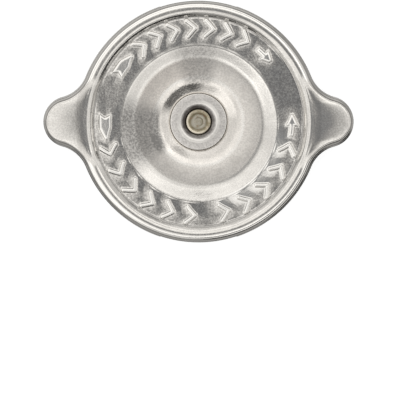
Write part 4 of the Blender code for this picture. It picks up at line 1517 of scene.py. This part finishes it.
# %% [markdown]
# ## Rubber ring and its retainer
#
# The ring is moulded rubber with a fine matt skin. Pressing on a filler neck has left a shallow shiny
# track in its face. The retainer is a thin stepped ring.

# %% Make the rubber ring and the retainer
GASKET_RADIUS, GASKET_BOTTOM, GASKET_TOP = node_sizes("gasket")
GASKET_BORE = 18.9
REBATE_RADIUS = 21.1
REBATE_TOP = GASKET_BOTTOM + 0.5
GASKET_EDGE = 0.3
TRACK_RADIUS = 23.8
TRACK_WIDTH = 0.9
TRACK_DEPTH = 0.05
TRACK_POINTS = 34
RETAINER_SHEET = 0.5
RETAINER_WALL = GASKET_BORE - 0.3
RETAINER_TAIL = 4.5
RETAINER_FLANGE = 2.2
RETAINER_GAP = 0.3
RETAINER_BEND = 0.2
RETAINER_EDGE = 0.06
RUBBER_CHAMFER = 0.1
RUBBER = (0.016, 0.016, 0.017, 1.0)
RUBBER_DUST = (0.06, 0.06, 0.058, 1.0)
TRACK_ZONE = (TRACK_RADIUS - 0.7, TRACK_RADIUS + 0.7, 0.3)
PORES = (5.0, 3.0, 0.6)
DUST = (0.5, 3.0, 0.6)
PORE_DEPTH = 1.8e-5


def make_gasket():
    """A flat ring with a rebate, round outer edges, and a shallow track pressed into its face."""
    outer = GASKET_RADIUS - GASKET_EDGE
    section = [(GASKET_BORE, GASKET_TOP)]
    section += corner((outer, GASKET_TOP - GASKET_EDGE), GASKET_EDGE, 90.0, 0.0)
    section += corner((outer, GASKET_BOTTOM + GASKET_EDGE), GASKET_EDGE, 0.0, -90.0)
    radius = np.linspace(outer - 2.0 * RUBBER_CHAMFER, REBATE_RADIUS + RUBBER_CHAMFER, TRACK_POINTS)
    track = TRACK_DEPTH * np.exp(-(((radius - TRACK_RADIUS) / TRACK_WIDTH) ** 4))
    section += zip(radius, GASKET_BOTTOM + track)
    section += [(REBATE_RADIUS, GASKET_BOTTOM + RUBBER_CHAMFER), (REBATE_RADIUS, REBATE_TOP)]
    return turned("rubber_ring", section + [(GASKET_BORE, REBATE_TOP)], LARGE_ROUND)


def rubber_finish():
    """Matt black rubber: fine pores, a dusty bloom, and a shinier track where the neck pressed."""
    skin = Finish("black_rubber", metallic=0.0)
    pores = skin.noise(*PORES)
    bloom = skin.noise(*DUST).step(0.4, 0.8)
    pressed = skin.radius.band(*TRACK_ZONE)
    colour = skin.coats(RUBBER, (bloom * (1.0 - pressed) * 0.6, RUBBER_DUST))
    rough = 0.62 + bloom * 0.15 - pressed * 0.22
    return skin.done(colour, rough, skin.relief(pores, PORE_DEPTH))


def make_retainer():
    """A stepped ring: a level tail, a short wall and a flange, with small bend radii."""
    flange_top = REBATE_TOP - RETAINER_GAP
    bend_centre = (RETAINER_WALL - RETAINER_BEND, GASKET_TOP - RETAINER_BEND)
    line = [(RETAINER_WALL - RETAINER_TAIL, GASKET_TOP)]
    line += corner(bend_centre, RETAINER_BEND, 90.0, 0.0, 4)
    line += [(RETAINER_WALL, flange_top), (RETAINER_WALL + RETAINER_FLANGE, flange_top)]
    return turned("stepped_ring", parallel(line, RETAINER_SHEET), MEDIUM_ROUND)


dress(make_gasket(), "gasket", rubber_finish())
dress(make_retainer(), "gasket_retainer", bright_zinc, bevel=RETAINER_EDGE)
print("gasket radius", round(GASKET_RADIUS, 2), "mm, top at", round(GASKET_TOP, 2), "mm")

# %% [markdown]
# ## Leaf spring
#
# Four arms are blanked with their hub from thin spring steel, and set down so that their tips press
# on the seal plate. As the seal rises the arms flatten. The spring gets a mesh of its own.

# %% Make the leaf spring
SPRING_SHEET = 0.4
SPRING_DROP = 0.8
SPRING_HUB_RADIUS = 6.5
SPRING_REACH = 22.0
SPRING_CONTACT = 20.2
SPRING_UPTURN = 0.25
SPRING_ROOT_WIDTH = 6.0
SPRING_TIP_WIDTH = 4.2
SPRING_ARMS = 4
SPRING_TOP = node_sizes("leaf_spring")[2]
ARM_COLUMNS = 12
GAP_COLUMNS = 12
ARM_ROWS = 26
TEMPERED_BLUE = (0.34, 0.345, 0.36, 1.0)
TEMPERED_STRAW = (0.42, 0.39, 0.34, 1.0)
SPRING_BRIGHT = (0.58, 0.58, 0.57, 1.0)
TEMPERING = (0.4, 3.0, 0.6)
RUBBING = (1.8, 3.0, 0.6)
WORN_START = (15.0, 21.0)
SPRING_GRAIN_DEPTH = 9.0e-6


def spring_height(radius):
    """Level at the hub, eased down to the plate, with the tips turned up a little."""
    fall = ease((radius - SPRING_HUB_RADIUS) / (SPRING_CONTACT - SPRING_HUB_RADIUS))
    upturn = np.maximum(radius - SPRING_CONTACT, 0.0) / (SPRING_REACH - SPRING_CONTACT)
    return SPRING_TOP - SPRING_DROP * fall + SPRING_UPTURN * upturn**2


def lowered(rows):
    """The same rows on the sheet's lower side."""
    return np.asarray(rows) - (0.0, 0.0, SPRING_SHEET)


def arm_rows(middle, arm_angles):
    """Rows along one arm: each point goes straight from the hub to the arm's round tip."""
    side = SPRING_HUB_RADIUS * np.sin(arm_angles)
    along = SPRING_HUB_RADIUS * np.cos(arm_angles)
    half_tip = 0.5 * SPRING_TIP_WIDTH
    tip_side = side * SPRING_TIP_WIDTH / SPRING_ROOT_WIDTH
    tip_along = SPRING_REACH - half_tip + np.sqrt(np.maximum(half_tip**2 - tip_side**2, 0.0))
    share = np.linspace(0.0, 1.0, ARM_ROWS + 1)[:, None]
    across = side + (tip_side - side) * share
    out = along + (tip_along - along) * share
    x = out * math.cos(middle) - across * math.sin(middle)
    y = out * math.sin(middle) + across * math.cos(middle)
    return np.stack((x, y, spring_height(np.hypot(x, y))), axis=-1)


def make_spring():
    """Weld the hub's ring, the arms and the cut edges round them."""
    work = Patchwork()
    half_root = math.asin(0.5 * SPRING_ROOT_WIDTH / SPRING_HUB_RADIUS)
    pitch = FULL_TURN / SPRING_ARMS
    arm_angles = half_root * np.sin(np.linspace(-QUARTER_TURN, QUARTER_TURN, ARM_COLUMNS + 1))
    gap_angles = np.linspace(half_root, pitch - half_root, GAP_COLUMNS + 1)
    middles = pitch * (np.arange(SPRING_ARMS) + 0.5)
    hub_angles = np.concatenate([m + np.concatenate((arm_angles, gap_angles[1:-1])) for m in middles])
    hub_radii = (HOLE_RADIUS, 0.5 * (HOLE_RADIUS + SPRING_HUB_RADIUS), SPRING_HUB_RADIUS)
    hub = np.array([circle_row(hub_angles, radius, SPRING_TOP) for radius in hub_radii])
    work.grid(hub)
    work.grid(lowered(hub))
    work.grid([hub[0], lowered(hub)[0]])
    for middle in middles:
        arm = arm_rows(middle, arm_angles)
        gap = circle_row(middle + gap_angles, SPRING_HUB_RADIUS, SPRING_TOP)
        work.strips(arm, lowered(arm))
        work.strips(*([edge, lowered(edge)] for edge in (arm[:, 0], arm[:, -1], arm[-1], gap)))
    return work.mesh("flat_spring")


def spring_finish():
    """Blued spring steel with straw tempering colours, rubbed bright towards the arms' tips."""
    skin = Finish("tempered_steel")
    blotch = skin.noise(*TEMPERING).step(0.3, 0.7)
    rubbed = skin.noise(*RUBBING)
    worn = skin.radius.step(*WORN_START) * rubbed
    colour = skin.coats(TEMPERED_BLUE, (blotch, TEMPERED_STRAW), (worn, SPRING_BRIGHT))
    return skin.done(colour, 0.28 + rubbed * 0.14, skin.relief(rubbed, SPRING_GRAIN_DEPTH))


leaf_spring = dress(make_spring(), "leaf_spring", spring_finish())
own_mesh(leaf_spring)
print("spring reaches", SPRING_REACH, "mm")
